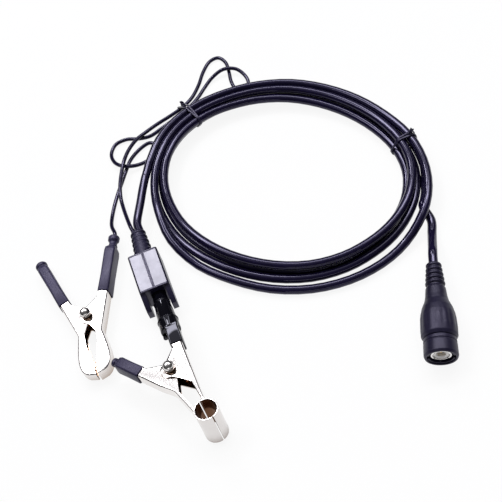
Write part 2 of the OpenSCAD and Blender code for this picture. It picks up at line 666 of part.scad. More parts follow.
// Crimped end of the lead, held inside the fixed handle
module ground_lead_lug() {
    s = ground_handle / cos(ground_lean);
    color("tan") in_ground_clip() on_handle(ground_lean) translate([-flange_d / 2, s - 7, 0]) rotate([-90, 0, 0])
        cylinder(d = lead_d, h = lead_boot_end - s + 7, $fn = fine);
}

// Point of the lead boot where the lead leaves it
function clip_point(x, s) = ground_pivot + concat(turned_by(
    [waist_x + waist_y * tan(ground_lean) + x * cos(ground_lean) + s * sin(ground_lean),
     s * cos(ground_lean) - x * sin(ground_lean)], ground_turn), [0]);
lead_home = clip_point(-flange_d / 2, lead_boot_end);
lead_home_out = clip_point(-flange_d / 2, lead_boot_end + 2);

// ---------- plug ----------
// Heights along the plug run from its cable end to its front
module in_plug() { translate(plug_tail) rotate([0, 0, plug_turn]) rotate([90, 0, 0]) children(); }
ring_back = plug_l - grip_l;               // seam between the boot's hood and the grip ring
lip_back = ring_back - 6.4;                // rear face of the bayonet sleeve
barrel_r = contact_r - 0.45;
sleeve_wall_r = grip_r - 0.75;              // outside of the bayonet sleeve
washer_t = 0.7;
wave_t = 1.05;
lip_t = 1;
flange_back = lip_back + lip_t + washer_t + wave_t + 0.05;

ferrule_r = 2.9;
ferrule_z = 12.6;                          // rear end of the crimp ferrule
spigot_r = 2.3;                            // the body's spigot inside the ferrule
spigot_z = 14;
body_z = 22;                               // rear end of the body's barrel
bore_z = flange_back + 0.5;                // floor of the bore that holds the insulator
contact_t = 0.55;                          // wall of the slotted contact
contact_tip = plug_l - 1.2;
seat_r = contact_r + 0.45;                 // shoulder that the gasket sits on
gasket_t = 0.9;
pin_r = 0.75;
socket_r = 1.9;                            // well in the insulator round the centre pin
rib_end = 12.2;                            // end of the plug's ribbed tail
tail_r = 3.1;
neck_r = 4.15;
hood_back = 24.4;                          // where the hood reaches its full width

module plug_boot() {
    groove = rib_end / (plug_grooves + 0.6);
    grooves = [for (i = [0 : plug_grooves - 1], z = 1.6 + i * groove, r = tail_r + 1.05 * z / rib_end)
        each [[r, z], [r - 0.55, z + 0.15], [r - 0.55, z + 0.75], [r + 0.06, z + 0.9]]];
    color(VINYL) in_plug() difference() {
        turned(concat([[0, 0], [tail_r - 0.4, 0], [tail_r, 0.6]], grooves,
            [[neck_r, rib_end], [neck_r + 0.35, rib_end + 3.8], [neck_r + 0.85, rib_end + 6.2],
             [(neck_r + hood_r) / 2 + 0.5, hood_back - 2.8], [hood_r - 0.5, hood_back],
             [hood_r - 0.2, hood_back + 2], [hood_r, ring_back - 4.6], [hood_r - 0.15, ring_back - 1.6],
             [hood_r - 0.9, ring_back - 0.3], [0, ring_back - 0.3]]));
        translate([0, 0, -1]) cylinder(d = coax_d, h = ferrule_z + 1.4, $fn = fine);
        translate([0, 0, ferrule_z - 0.6]) cylinder(r = ferrule_r, h = body_z - ferrule_z + 2, $fn = fine);
        translate([0, 0, body_z]) cylinder(r = barrel_r, h = lip_back - body_z, $fn = fine);
        translate([0, 0, lip_back - 0.5]) cylinder(r = sleeve_wall_r + 0.25, h = grip_l + 12, $fn = fine);
    }
}

module coax_tail_plug() {
    color(BLACK) in_plug() cylinder(d = coax_d, h = ferrule_z, $fn = fine);
}

module plug_crimp_ferrule() {
    color(NICKEL) in_plug() translate([0, 0, ferrule_z]) difference() {
        cylinder(r = ferrule_r, h = body_z - ferrule_z - 1.4, $fn = fine);
        translate([0, 0, -1]) cylinder(r = spigot_r, h = body_z, $fn = fine);
    }
}

module plug_body() {
    inner = contact_r - contact_t;
    color(NICKEL) in_plug() difference() {
        turned([[spigot_r, spigot_z], [spigot_r, body_z - 1.4], [ferrule_r, body_z - 1.4],
            [ferrule_r, body_z], [barrel_r, body_z], [barrel_r, flange_back], [sleeve_wall_r - 1, flange_back],
            [sleeve_wall_r - 1, flange_back + 1], [seat_r, flange_back + 1], [seat_r, flange_back + 1 + gasket_t],
            [contact_r, flange_back + 1 + gasket_t], [contact_r, contact_tip],
            [inner, contact_tip], [inner, bore_z], [spigot_r - 0.7, bore_z], [spigot_r - 0.7, spigot_z]]);
        for (a = [0, 90]) rotate([0, 0, a + 45]) translate([-6, -0.2, contact_tip - 5]) cube([12, 0.4, 6]);
    }
}

module plug_insulator() {
    outer = contact_r - contact_t - 0.01;
    front = contact_tip - 0.4;
    color(WHITE) in_plug() turned([[pin_r, bore_z], [outer, bore_z], [outer, front - 0.3],
        [outer - 0.3, front], [socket_r + 0.3, front], [socket_r, front - 0.3], [socket_r, front - 7],
        [pin_r, front - 7]]);
}

module plug_centre_pin() {
    tip = plug_l - 2.6;
    color(GOLD) in_plug() turned([[0, spigot_z + 2], [pin_r, spigot_z + 2], [pin_r, tip - 6],
        [pin_r - 0.07, tip - 5.8], [pin_r - 0.07, tip - 0.5], [pin_r - 0.45, tip], [0, tip]]);
}

module plug_gasket() {
    color("dimgray") in_plug() translate([0, 0, flange_back + 1]) difference() {
        cylinder(r = bayonet_r - 0.05, h = gasket_t, $fn = fine);
        translate([0, 0, -1]) cylinder(r = seat_r, h = 3, $fn = fine);
    }
}

// Turning sleeve with two bayonet grooves in its bore
module plug_bayonet_sleeve() {
    front = plug_l - 0.5;
    depth = 0.75;
    room = flange_back + 1 + plug_travel + 0.1;
    color(VINYL) in_plug() difference() {
        turned([[barrel_r + 0.08, lip_back], [sleeve_wall_r, lip_back], [sleeve_wall_r, front], [bayonet_r, front],
            [bayonet_r, room + 1.2], [sleeve_wall_r - 0.7, room], [sleeve_wall_r - 0.7, lip_back + lip_t],
            [barrel_r + 0.08, lip_back + lip_t]]);
        for (a = [0, 180]) rotate([0, 0, a]) {
            translate([0, -1.1, front - 4.6]) cube([bayonet_r + depth, 2.2, 6]);
            translate([0, 0, front - 4.6]) rotate([0, 0, -60]) rotate_extrude(angle = 70, $fn = fine)
                translate([bayonet_r - 0.3, 0]) square([depth + 0.3, 2.2]);
        }
    }
}

module plug_grip_ring() {
    color(VINYL) in_plug() turned([[sleeve_wall_r, ring_back], [grip_r - 0.25, ring_back],
        [grip_r - 0.15, ring_back + 1.5], [grip_r - 0.4, ring_back + 1.7], [grip_r - 0.4, ring_back + 2],
        [grip_r - 0.1, ring_back + 2.2], [grip_r, plug_l - 1], [grip_r - 0.4, plug_l], [sleeve_wall_r - 0.4, plug_l],
        [sleeve_wall_r - 0.4, plug_l - 0.5], [sleeve_wall_r, plug_l - 0.5]]);
}

module plug_thrust_washer() {
    color(NICKEL) in_plug() translate([0, 0, lip_back + lip_t + 0.03]) difference() {
        cylinder(r = sleeve_wall_r - 1, h = washer_t - 0.06, $fn = fine);
        translate([0, 0, -1]) cylinder(r = barrel_r + 0.08, h = 3, $fn = fine);
    }
}

// Wave washer that presses the sleeve back
module plug_wave_spring() {
    r0 = barrel_r + 0.25;
    r1 = sleeve_wall_r - 1.05;
    n = 36;
    t = 0.25;
    lift = wave_t - t - 0.05;
    z0 = lip_back + lip_t + washer_t;
    function wave(a) = lift * (0.5 - 0.5 * cos(3 * a));
    points = [for (i = [0 : n - 1]) let(a = 360 * i / n, z = z0 + wave(a))
        each [[r0 * cos(a), r0 * sin(a), z], [r1 * cos(a), r1 * sin(a), z], [r1 * cos(a), r1 * sin(a), z + t],
              [r0 * cos(a), r0 * sin(a), z + t]]];
    faces = [for (i = [0 : n - 1], k = [0 : 3])
        let(a = 4 * i + k, b = 4 * i + (k + 1) % 4, c = 4 * ((i + 1) % n) + k, e = 4 * ((i + 1) % n) + (k + 1) % 4)
        each [[a, b, e], [a, e, c]]];
    color("silver") in_plug() polyhedron(points = points, faces = faces, convexity = 6);
}

// ---------- cords ----------
module coax_coil() { color(BLACK) tube(coil_path, coax_d, 6); }

module coax_case_lead() {
    out = coil_last + coax_d * unit(coil_last - last(coil_turns));
    into_boot = coax_exit + [0, coax_d, 0];
    color(BLACK) tube(concat([coil_last, out], case_lead_route, [into_boot, coax_exit]), coax_d, 8);
}

module coax_plug_lead() {
    out = coil_first + coax_d * unit(coil_first - coil_turns[0]);
    into_plug = plug_tail + coax_d * concat(turned_by([0, 1], plug_turn), [0]);
    color(BLACK) tube(concat([coil_first, out], plug_lead_route, [into_plug, plug_tail]), coax_d, 8);
}

module ground_lead() {
    into_boot = lead_exit + [0, lead_d, 0];
    color(BLACK) tube(concat([lead_exit, into_boot], ground_route, [lead_home_out, lead_home]), lead_d, 8);
}

module coil_tie_left() { tie(161, 10.3); }
module coil_tie_right() { tie(49, 0); }

echo(coil_gap = coil_gap, coil_length = run_length(coil_path));

case_left();
case_right();
face_plate_left();
face_plate_right();
case_cable_boot();
circuit_board();
series_capacitor();
shunt_capacitor();
damping_resistor();
coax_tail_case();
ground_tail_case();
stem_boot();
signal_wire();
pickup_fixed_arm();
pickup_lever();
pickup_fixed_sleeve();
pickup_moving_sleeve();
pickup_pivot_rivet();
pickup_spring();
pickup_lever_boot();
ground_fixed_jaw();
ground_moving_jaw();
ground_pivot_rivet();
ground_spring();
ground_lead_boot();
ground_lever_boot();
ground_lead_lug();
plug_boot();
plug_body();
plug_insulator();
plug_centre_pin();
plug_crimp_ferrule();
plug_gasket();
plug_bayonet_sleeve();
plug_grip_ring();
plug_thrust_washer();
plug_wave_spring();
coax_tail_plug();
coax_case_lead();
coax_coil();
coax_plug_lead();
ground_lead();
coil_tie_left();
coil_tie_right();
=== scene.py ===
"""Dresses the ignition pick-up probe: its cables, case, clips and plug, and lights them."""

import json
import math
from functools import cache

import bmesh
import bpy
from bpy.props import FloatProperty, FloatVectorProperty, IntProperty, PointerProperty
from mathutils import Matrix, Vector


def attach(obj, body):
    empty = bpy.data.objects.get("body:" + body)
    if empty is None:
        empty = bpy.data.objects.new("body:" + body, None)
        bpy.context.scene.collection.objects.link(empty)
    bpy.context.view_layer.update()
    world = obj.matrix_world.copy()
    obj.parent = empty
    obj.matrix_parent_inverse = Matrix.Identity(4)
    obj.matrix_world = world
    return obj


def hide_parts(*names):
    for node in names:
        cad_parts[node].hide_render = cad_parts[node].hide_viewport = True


bl_info = {
    "name": "Ignition Pick-up Probe",
    "version": (1, 0, 0),
    "blender": (4, 5, 0),
    "location": "View3D > Sidebar > Probe",
    "description": "Builds the finished surfaces of an oscilloscope's ignition pick-up probe",
    "category": "Object",
}

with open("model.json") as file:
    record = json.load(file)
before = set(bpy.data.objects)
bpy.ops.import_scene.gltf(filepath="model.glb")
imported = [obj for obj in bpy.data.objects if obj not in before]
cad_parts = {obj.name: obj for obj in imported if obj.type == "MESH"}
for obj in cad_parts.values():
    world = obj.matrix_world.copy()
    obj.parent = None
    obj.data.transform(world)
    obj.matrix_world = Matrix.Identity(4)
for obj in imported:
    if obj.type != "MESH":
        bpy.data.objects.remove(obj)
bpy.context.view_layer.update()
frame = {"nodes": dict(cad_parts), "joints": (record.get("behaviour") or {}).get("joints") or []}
NODES = frame["nodes"]
JOINTS = {joint["name"]: joint for joint in frame["joints"]}

# ---------- sizes shared by several pieces, in millimetres and degrees ----------
MM = 0.001

# Divider case, its cable boot and the places where the two cables leave it
CASE_L = 20.6
CASE_H = 13.0
AXIS_Z = CASE_H / 2
BOOT_L = 16.3
BOOT_END_Y = CASE_L / 2 + BOOT_L
COAX_EXIT = (1.8, BOOT_END_Y, AXIS_Z)
LEAD_EXIT = (-1.2, BOOT_END_Y, AXIS_Z)

# Coil: half axes of its outermost oval, its middle and its turns
COIL_A = 68.0
COIL_B = 54.6
COIL_CENTRE = (72.4, 26.4)
COIL_TILT = -50.0
COIL_START = 20.0
HALF_TURNS = 9
COIL_END = COIL_START + HALF_TURNS * 180
COIL_MIDDLE = COIL_START + HALF_TURNS * 90
COIL_STEP = 15.0
LAYER_STEP = 4.42
TIE_T = 0.6
COIL_FLOOR = TIE_T + 0.05
# Angle on every turn, and how far the bundle drifts inwards there
COIL_DRIFT = (
    (0, 2.6), (12, 1.9), (24, 0.2), (36, -1.2), (48, -2), (110, -2), (132, -0.6), (144, 0.3),
    (196, 0.3), (228, -0.7), (246, -1.4), (264, -1.2), (300, -0.3), (312, 0.6), (324, 1.8),
    (336, 2.8), (348, 3), (360, 2.6),
)
# The last turn's loose stretch, by the angle before the coil's end: its depth, and its fall to the bench
LOOSE_DEPTH = (
    (-345, 3), (-330, 0.8), (-315, -2.4), (-300, -2.8), (-285, -2.3), (-270, -2.4), (-255, -1.9),
    (-240, -0.9), (-225, 0.1), (-210, 0.4), (-195, -0.4), (-180, -0.6), (-165, -0.8), (-150, -1),
)
LOOSE_FALL = (
    (-345, 0), (-330, 0), (-315, 0.4), (-300, 1), (-225, 1), (-210, 0.82), (-195, 0.1), (-180, 0),
)

# Both spring clips: folded sheet, handles, jaws, rivets and boots
CLIP_H = 7.0
SHEET_T = 0.6
INNER_H = CLIP_H - 2 * SHEET_T - 0.2
WAIST_X = 5.6
ARM_WAIST_X = 6.4
WAIST_Y = 8.5
EAR_R = 3.9
FLANGE_D = 4.2
HANDLE_START = 8.0
GROUND_BOOT_START = 9.7
LEVER_BOOT_START = 8.2
GROUND_LEAN = 17.5
STEM_LEAN = 17.0
LEVER_LEAN = 20.0
JAW_L = 29.8
GROUND_HANDLE = 31.5
GROUND_HANDLE_L = GROUND_HANDLE / math.cos(math.radians(GROUND_LEAN))
LEAD_BOOT_PAST = 7.5
LEVER_BOOT_PAST = 5.0
PICKUP_HANDLE = 22.5
LEVER_HANDLE = 18.6
SLEEVE_REACH = 26.0
SLEEVE_R = 4.35
SLEEVE_T = 0.6
SLEEVE_OUT = SLEEVE_R + SLEEVE_T
SLEEVE_L = 18.0
SLEEVE_TOP = CLIP_H / 2 + 0.5
SLIT_W = 0.5
VINYL_T = 0.5
PIN_D = 2.4
BALL_D = 5.0
CLIP_RISE = 7.0
PICKUP_TURN = 19.0
GROUND_TURN = -5.0
GROUND_FOOT = 0.8
PICKUP_FOOT = 0.6

# Torsion springs in both clips
SPRING_D = 0.8
SPRING_R = PIN_D / 2 + SPRING_D / 2 + 0.5
SPRING_LEAN = 40.0
SPRING_SWEEP = 820.0
SPRING_H = (SPRING_D + 0.45) * SPRING_SWEEP / 360
SPRING_LEG = 11.4
SPRING_HOOK = 1.2

# Bayonet plug
HOOD_R = 7.5
PLUG_L = 43.5
GRIP_R = 6.85
GRIP_L = 7.9
RING_BACK = PLUG_L - GRIP_L
PLUG_TAIL = (112.4, -48.5, HOOD_R)
PLUG_TURN = -22.0
TAIL_RIBS_L = 12.2
FLUTE_START = 22.5
FLUTE_STOP = RING_BACK - 2.6

# Stem, from the tip of its nose back to the case; STEM_OFF is its axis beside the case's middle
STEM_OFF = 0.5
STEM_NOSE = 11.2
NOSE_L = 9.1
NOSE_X = 0.8
STEM_FRONT = STEM_NOSE + NOSE_L


def placed(origin, *turns):
    """Matrix from a piece's own millimetres to the frame's metres; origin is in metres."""
    matrix = Matrix.Translation(Vector(origin))
    for axis, degrees in turns:
        matrix = matrix @ Matrix.Rotation(math.radians(degrees), 4, axis)
    return matrix @ Matrix.Scale(MM, 4)


def shifted(matrix, x=0.0, y=0.0, z=0.0):
    """The same frame with its origin moved along its own axes."""
    return matrix @ Matrix.Translation((x, y, z))


def turned(matrix, degrees, axis):
    """The same frame turned about one of its own axes."""
    return matrix @ Matrix.Rotation(math.radians(degrees), 4, axis)


def mirrored(matrix):
    """The same frame with its x pointing the other way."""
    return matrix @ Matrix.Scale(-1, 4, (1, 0, 0))


def handle_frame(clip, lean):
    """Frame of a handle: x = 0 is its back and y runs along it from beside the pivot."""
    return turned(shifted(clip, WAIST_X + WAIST_Y * math.tan(math.radians(lean))), -lean, "Z")


WORLD = Matrix.Scale(MM, 4)
PICKUP_PIVOT = JOINTS["pickup_hinge"]["pos_m"]
GROUND_PIVOT = JOINTS["ground_hinge"]["pos_m"]
PICKUP_PLANE = placed(PICKUP_PIVOT, ("X", -CLIP_RISE))
PICKUP_CLIP = turned(PICKUP_PLANE, PICKUP_TURN, "Z")
PICKUP_MIRROR = mirrored(PICKUP_CLIP)
GROUND_CLIP = placed(GROUND_PIVOT, ("Z", GROUND_TURN))
GROUND_MIRROR = mirrored(GROUND_CLIP)
STEM = turned(shifted(PICKUP_PLANE, STEM_OFF - PICKUP_PIVOT[0] / MM), -90, "X")
STEM_BACK = (-CASE_L / 2 - PICKUP_PIVOT[1] / MM) / math.cos(math.radians(CLIP_RISE))
PLUG = placed([c * MM for c in PLUG_TAIL], ("Z", PLUG_TURN), ("X", 90))
CASE_BOOT = turned(shifted(WORLD, 0, CASE_L / 2, AXIS_Z), -90, "X")


# ---------- settings that a user would change ----------
def length_property(name, description, millimetres):
    """A length setting, kept in metres."""
    return FloatProperty(name=name, description=description, default=millimetres * MM,
                         min=0.0, unit="LENGTH", precision=5)


def colour_property(name, description, colour):
    """A linear colour setting."""
    return FloatVectorProperty(name=name, description=description, default=colour, size=3,
                               min=0.0, max=1.0, subtype="COLOR")


class ProbeCableSettings(bpy.types.PropertyGroup):
    """Sizes and colour of the cables."""

    coax_d: length_property("Coax diameter", "Diameter of the coaxial cable", 4.0)
    lead_d: length_property("Lead diameter", "Diameter of the ground lead", 1.9)
    turn_pitch: length_property("Turn pitch", "Distance between neighbouring turns of the coil", 4.2)
    coax_length: length_property("Coax length", "Length of the coaxial cable outside case and plug", 1700)
    lead_length: length_property("Lead length", "Length of the ground lead from case to clip", 368)
    jacket: colour_property("Jacket", "Colour of both cable jackets", (0.0042, 0.0028, 0.0155))


class ProbeClipSettings(bpy.types.PropertyGroup):
    """Sheet metal and vinyl of the two clips."""

    fold_r: length_property("Fold radius", "Outer radius of the folds in the clip sheet", 1.0)
    edge_r: length_property("Edge radius", "Rounding of the cut sheet edges", 0.09)
    nickel: colour_property("Nickel", "Colour of the nickel plating", (0.80, 0.77, 0.755))
    vinyl: colour_property("Vinyl", "Colour of the boots on the handles", (0.019, 0.016, 0.041))


class ProbeCaseSettings(bpy.types.PropertyGroup):
    """Divider case, its boot and the stem."""

    edge_r: length_property("Edge radius", "Rounding of the case's moulded edges", 0.35)
    rib_count: IntProperty(name="Boot ribs", description="Number of ribs on the case's cable boot",
                           default=5, min=2, max=9)
    plastic: colour_property("Plastic", "Colour of the moulded case", (0.0075, 0.0065, 0.019))
    plate: colour_property("Plates", "Colour of the two face plates", (0.50, 0.49, 0.57))


class ProbePlugSettings(bpy.types.PropertyGroup):
    """The insulated bayonet plug."""

    rib_count: IntProperty(name="Tail ribs", description="Number of ribs round the plug's tail",
                           default=5, min=2, max=9)
    flute_count: IntProperty(name="Hood flutes", description="Number of shallow flutes round the hood",
                             default=14, min=6, max=30)
    flute_depth: length_property("Flute depth", "Depth of the shallow flutes", 0.16)
    vinyl: colour_property("Vinyl", "Colour of the plug's hood and grip ring", (0.0068, 0.0056, 0.0175))


class ProbeStageSettings(bpy.types.PropertyGroup):
    """Camera lens and light levels."""

    lens: FloatProperty(name="Lens", description="Focal length on a 36 mm sensor, in millimetres",
                        default=64.54, min=10)
    sky: FloatProperty(name="Sky", description="Brightness of the soft surroundings", default=1.0, min=0)
    softbox: FloatProperty(name="Softboxes", description="Brightness of the lamps", default=1.0, min=0)


# ---------- plane and space curves ----------
def smooth_step(x):
    """0 below 0, 1 above 1, and a smooth ramp between them."""
    t = min(1.0, max(0.0, x))
    return t * t * (3 - 2 * t)


def mix(a, b, t):
    """Point or number between a and b."""
    return a + (b - a) * t


def between(x, table):
    """Value of a table of (place, value) pairs at x, straight between its places."""
    if x <= table[0][0]:
        return table[0][1]
    for (x0, y0), (x1, y1) in zip(table, table[1:]):
        if x <= x1:
            return mix(y0, y1, (x - x0) / (x1 - x0))
    return table[-1][1]


def arc(radius, start, stop, steps, centre=(0.0, 0.0)):
    """Points of an arc round a centre, from one angle in degrees to another."""
    angles = [math.radians(mix(start, stop, k / steps)) for k in range(steps + 1)]
    return [Vector((centre[0] + radius * math.cos(a), centre[1] + radius * math.sin(a))) for a in angles]


def box_ring(x0, x1, y0, y1, radius, steps=5):
    """Closed outline of a box with round corners, anticlockwise."""
    left, right, low, high = x0 + radius, x1 - radius, y0 + radius, y1 - radius
    ring = []
    for centre, start in (((right, high), 0), ((left, high), 90), ((left, low), 180), ((right, low), 270)):
        ring += arc(radius, start, start + 90, steps, centre)
    return ring


def catmull(points, steps):
    """Smooth line through points, with steps pieces between each two."""
    pts = [Vector(p) for p in points]
    pts = [pts[0] * 2 - pts[1], *pts, pts[-1] * 2 - pts[-2]]
    line = []
    for i in range(1, len(pts) - 2):
        a, b, c, d = pts[i - 1:i + 3]
        for k in range(steps):
            t = k / steps
            line.append(0.5 * (2 * b + (c - a) * t + (2 * a - 5 * b + 4 * c - d) * t * t
                               + (3 * b - a - 3 * c + d) * t ** 3))
    return line + [pts[-2]]


def bezier(a, b, c, d, count):
    """Points of a cubic curve."""
    a, b, c, d = (Vector(p) for p in (a, b, c, d))
    return [a * (1 - t) ** 3 + b * 3 * (1 - t) ** 2 * t + c * 3 * (1 - t) * t * t + d * t ** 3
            for t in (i / count for i in range(count + 1))]


def resampled(line, count):
    """count points at even distances along a line."""
    line = [Vector(p) for p in line]
    total = [0.0]
    for a, b in zip(line, line[1:]):
        total.append(total[-1] + (b - a).length)
    points, k = [], 0
    for i in range(count):
        want = total[-1] * i / (count - 1)
        while k < len(line) - 2 and total[k + 1] < want:
            k += 1
        span = max(total[k + 1] - total[k], 1e-9)
        points.append(line[k].lerp(line[k + 1], min(1.0, max(0.0, (want - total[k]) / span))))
    return points


def filleted(points, radius, steps=4):
    """An open outline of (x, y) with its inner corners rounded, no more than their sides allow."""
    pts = [Vector(p[:2]) for p in points]
    line = [pts[0]]
    for a, b, c in zip(pts, pts[1:], pts[2:]):
        u, v = a - b, c - b
        if u.length < 1e-6 or v.length < 1e-6:
            continue
        half = u.angle(v) / 2
        reach = min(radius / max(math.tan(half), 1e-4), 0.45 * u.length, 0.45 * v.length)
        p, q = b + u.normalized() * reach, b + v.normalized() * reach
        for k in range(steps + 1):
            t = k / steps
            line.append(p * (1 - t) ** 2 + b * 2 * t * (1 - t) + q * t * t)
    return line + [pts[-1]]


# ---------- mesh making ----------
# How near points are merged and how short an edge is dropped, in a piece's own millimetres
MERGE = 0.0004
SLIVER = 0.0002


def skin(rows, around=True, caps=False):
    """Vertices and faces of a surface through rows of points."""
    n = len(rows[0])
    verts = [tuple(p) for row in rows for p in row]
    faces = []
    for i in range(len(rows) - 1):
        for k in range(n if around else n - 1):
            a, b = i * n + k, i * n + (k + 1) % n
            faces.append((a, b, b + n, a + n))
    if caps:
        faces.append(tuple(reversed(range(n))))
        faces.append(tuple(range(len(verts) - n, len(verts))))
    return verts, faces


def spun(profile, steps, radius_at=None):
    """Surface of revolution about Z from (radius, height) points; radius_at(r, z, angle) may shape it."""
    rows = []
    for r, z in profile:
        ring = []
        for k in range(steps):
            a = 2 * math.pi * k / steps
            reach = radius_at(r, z, a) if radius_at else r
            ring.append((reach * math.cos(a), reach * math.sin(a), z))
        rows.append(ring)
    return skin(rows)


def wire(path, radius, up, sides=12):
    """Round wire along a path, closed at both ends."""
    angles = [2 * math.pi * k / sides for k in range(sides)]
    section = [(radius * math.cos(a), radius * math.sin(a)) for a in angles]
    rows = []
    for i, p in enumerate(path):
        t = (path[min(i + 1, len(path) - 1)] - path[max(i - 1, 0)]).normalized()
        side = t.cross(up).normalized()
        top = side.cross(t)
        rows.append([p + side * x + top * y for x, y in section])
    return skin(rows, caps=True)


def joined(*parts):
    """Several meshes' vertices and faces as one."""
    verts, faces = [], []
    for v, f in parts:
        faces += [tuple(i + len(verts) for i in face) for face in f]
        verts += v
    return verts, faces


def moved(part, matrix):
    """A mesh's vertices carried through a matrix."""
    verts, faces = part
    return [tuple(matrix @ Vector(v)) for v in verts], faces


def linked(name, data):
    """A new object in the scene."""
    obj = bpy.data.objects.new(name, data)
    bpy.context.scene.collection.objects.link(obj)
    return obj


def round_edges(obj, width, segments, from_angle):
    """Rounds the edges that turn by more than an angle in degrees."""
    rounding = obj.modifiers.new("Edges", "BEVEL")
    rounding.width, rounding.segments = width, segments
    rounding.limit_method, rounding.angle_limit = "ANGLE", math.radians(from_angle)


def settled(obj, matrix, slot, body="root", replaces=(), sharp=38):
    """Applies an object's modifiers, moves its mesh into place and hands it to its body."""
    graph = bpy.context.evaluated_depsgraph_get()
    graph.update()
    if obj.modifiers:
        done = bpy.data.meshes.new_from_object(obj.evaluated_get(graph))
        obj.modifiers.clear()
        obj.data = done
    mesh = obj.data
    mesh.transform(matrix)
    if matrix.determinant() < 0:
        mesh.flip_normals()
    mesh.polygons.foreach_set("use_smooth", [True] * len(mesh.polygons))
    mesh.set_sharp_from_angle(angle=math.radians(sharp))
    mesh.materials.clear()
    mesh.materials.append(finish(slot))
    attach(obj, body)
    if replaces:
        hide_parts(*replaces)


def piece(name, part, matrix, slot, body="root", replaces=(), bevel=0.0, solid=0.0, sharp=45):
    """Makes a finished piece from vertices and faces in its own millimetres.

    A part with a solid thickness is an open sheet whose faces already point outwards.
    """
    mesh = bpy.data.meshes.new(name)
    mesh.from_pydata([Vector(v) for v in part[0]], [], part[1])
    bm = bmesh.new()
    bm.from_mesh(mesh)
    bmesh.ops.remove_doubles(bm, verts=bm.verts, dist=MERGE)
    bmesh.ops.dissolve_degenerate(bm, edges=bm.edges, dist=SLIVER)
    if not solid:
        bmesh.ops.recalc_face_normals(bm, faces=bm.faces)
    bm.to_mesh(mesh)
    bm.free()
    obj = linked(name, mesh)
    if solid:
        thick = obj.modifiers.new("Sheet", "SOLIDIFY")
        thick.thickness, thick.offset, thick.use_even_offset = solid, -1, True
    if bevel:
        round_edges(obj, bevel, 2, 40)
    settled(obj, matrix, slot, body, replaces, sharp)


def dressed(node, slot, bevel):
    """A copy of a CAD node with its triangles merged and its edges rounded, in place of the node."""
    mesh = NODES[node].data.copy()
    bm = bmesh.new()
    bm.from_mesh(mesh)
    bmesh.ops.remove_doubles(bm, verts=bm.verts, dist=0.002 * MM)
    bmesh.ops.dissolve_limit(bm, angle_limit=math.radians(0.6), verts=bm.verts, edges=bm.edges)
    bm.to_mesh(mesh)
    bm.free()
    obj = linked(node + "_finished", mesh)
    round_edges(obj, bevel * MM, 3, 28)
    settled(obj, Matrix.Identity(4), slot, replaces=(node,), sharp=35)


def repaint(slots):
    """Gives CAD nodes that stay as they are their finishes."""
    for node, slot in slots.items():
        obj = NODES[node]
        obj.data.materials.clear()
        obj.data.materials.append(finish(slot))


# ---------- node trees ----------
def new_sockets(tree, in_out, labels):
    """Makes a group's sockets from lists of labels by type, and returns them by label."""
    return {label: tree.interface.new_socket(label, in_out=in_out, socket_type="NodeSocket" + kind)
            for kind, names in labels.items() for label in names}


class NodeMaker:
    """Adds and links the nodes of one tree."""

    def __init__(self, tree):
        self.tree = tree

    def feed(self, socket, value):
        """Links a socket to another or sets its default."""
        if isinstance(value, bpy.types.NodeSocket):
            self.tree.links.new(value, socket)
        else:
            socket.default_value = value

    def add(self, kind, settings=(), **sockets):
        """A node whose inputs are set or linked by name, with _ for a space."""
        node = self.tree.nodes.new(kind)
        for key, value in settings:
            setattr(node, key, value)
        for key, value in sockets.items():
            self.feed(node.inputs[key.replace("_", " ")], value)
        return node

    def vector(self, x, y, z):
        """Result of a Combine XYZ node."""
        return self.add("ShaderNodeCombineXYZ", X=x, Y=y, Z=z).outputs[0]

    def math(self, operation, result, *others):
        """Result of Math nodes in a row, such as a sum or a product."""
        for other in others:
            node = self.add("ShaderNodeMath", [("operation", operation)])
            self.feed(node.inputs[0], result)
            self.feed(node.inputs[1], other)
            result = node.outputs[0]
        return result

    def ramp(self, value, low, high, to_low=0.0, to_high=1.0):
        """Result of a clamped Map Range."""
        return self.add("ShaderNodeMapRange", Value=value, From_Min=low, From_Max=high,
                        To_Min=to_low, To_Max=to_high).outputs["Result"]

    def band(self, value, bottom, low, high, top):
        """1 from low to high, and 0 below the bottom and above the top."""
        return self.math("MULTIPLY", self.ramp(value, bottom, low), self.ramp(value, top, high))

    def noise(self, vector, scale, detail, roughness=0.55):
        """Factor of a noise texture."""
        return self.add("ShaderNodeTexNoise", Vector=vector, Scale=scale, Detail=detail,
                        Roughness=roughness).outputs["Fac"]

    def blend(self, factor, a, b):
        """Mixed colour."""
        node = self.add("ShaderNodeMix", [("data_type", "RGBA")])
        for place, value in ((0, factor), (6, a), (7, b)):
            self.feed(node.inputs[place], value)
        return node.outputs[2]

    def mixed_surface(self, output, factor, a, b):
        """Ends the tree in an output node whose surface is a mix of two shaders."""
        both = self.add("ShaderNodeMixShader", Fac=factor)
        self.feed(both.inputs[1], a.outputs[0])
        self.feed(both.inputs[2], b.outputs[0])
        self.add(output, Surface=both.outputs[0])


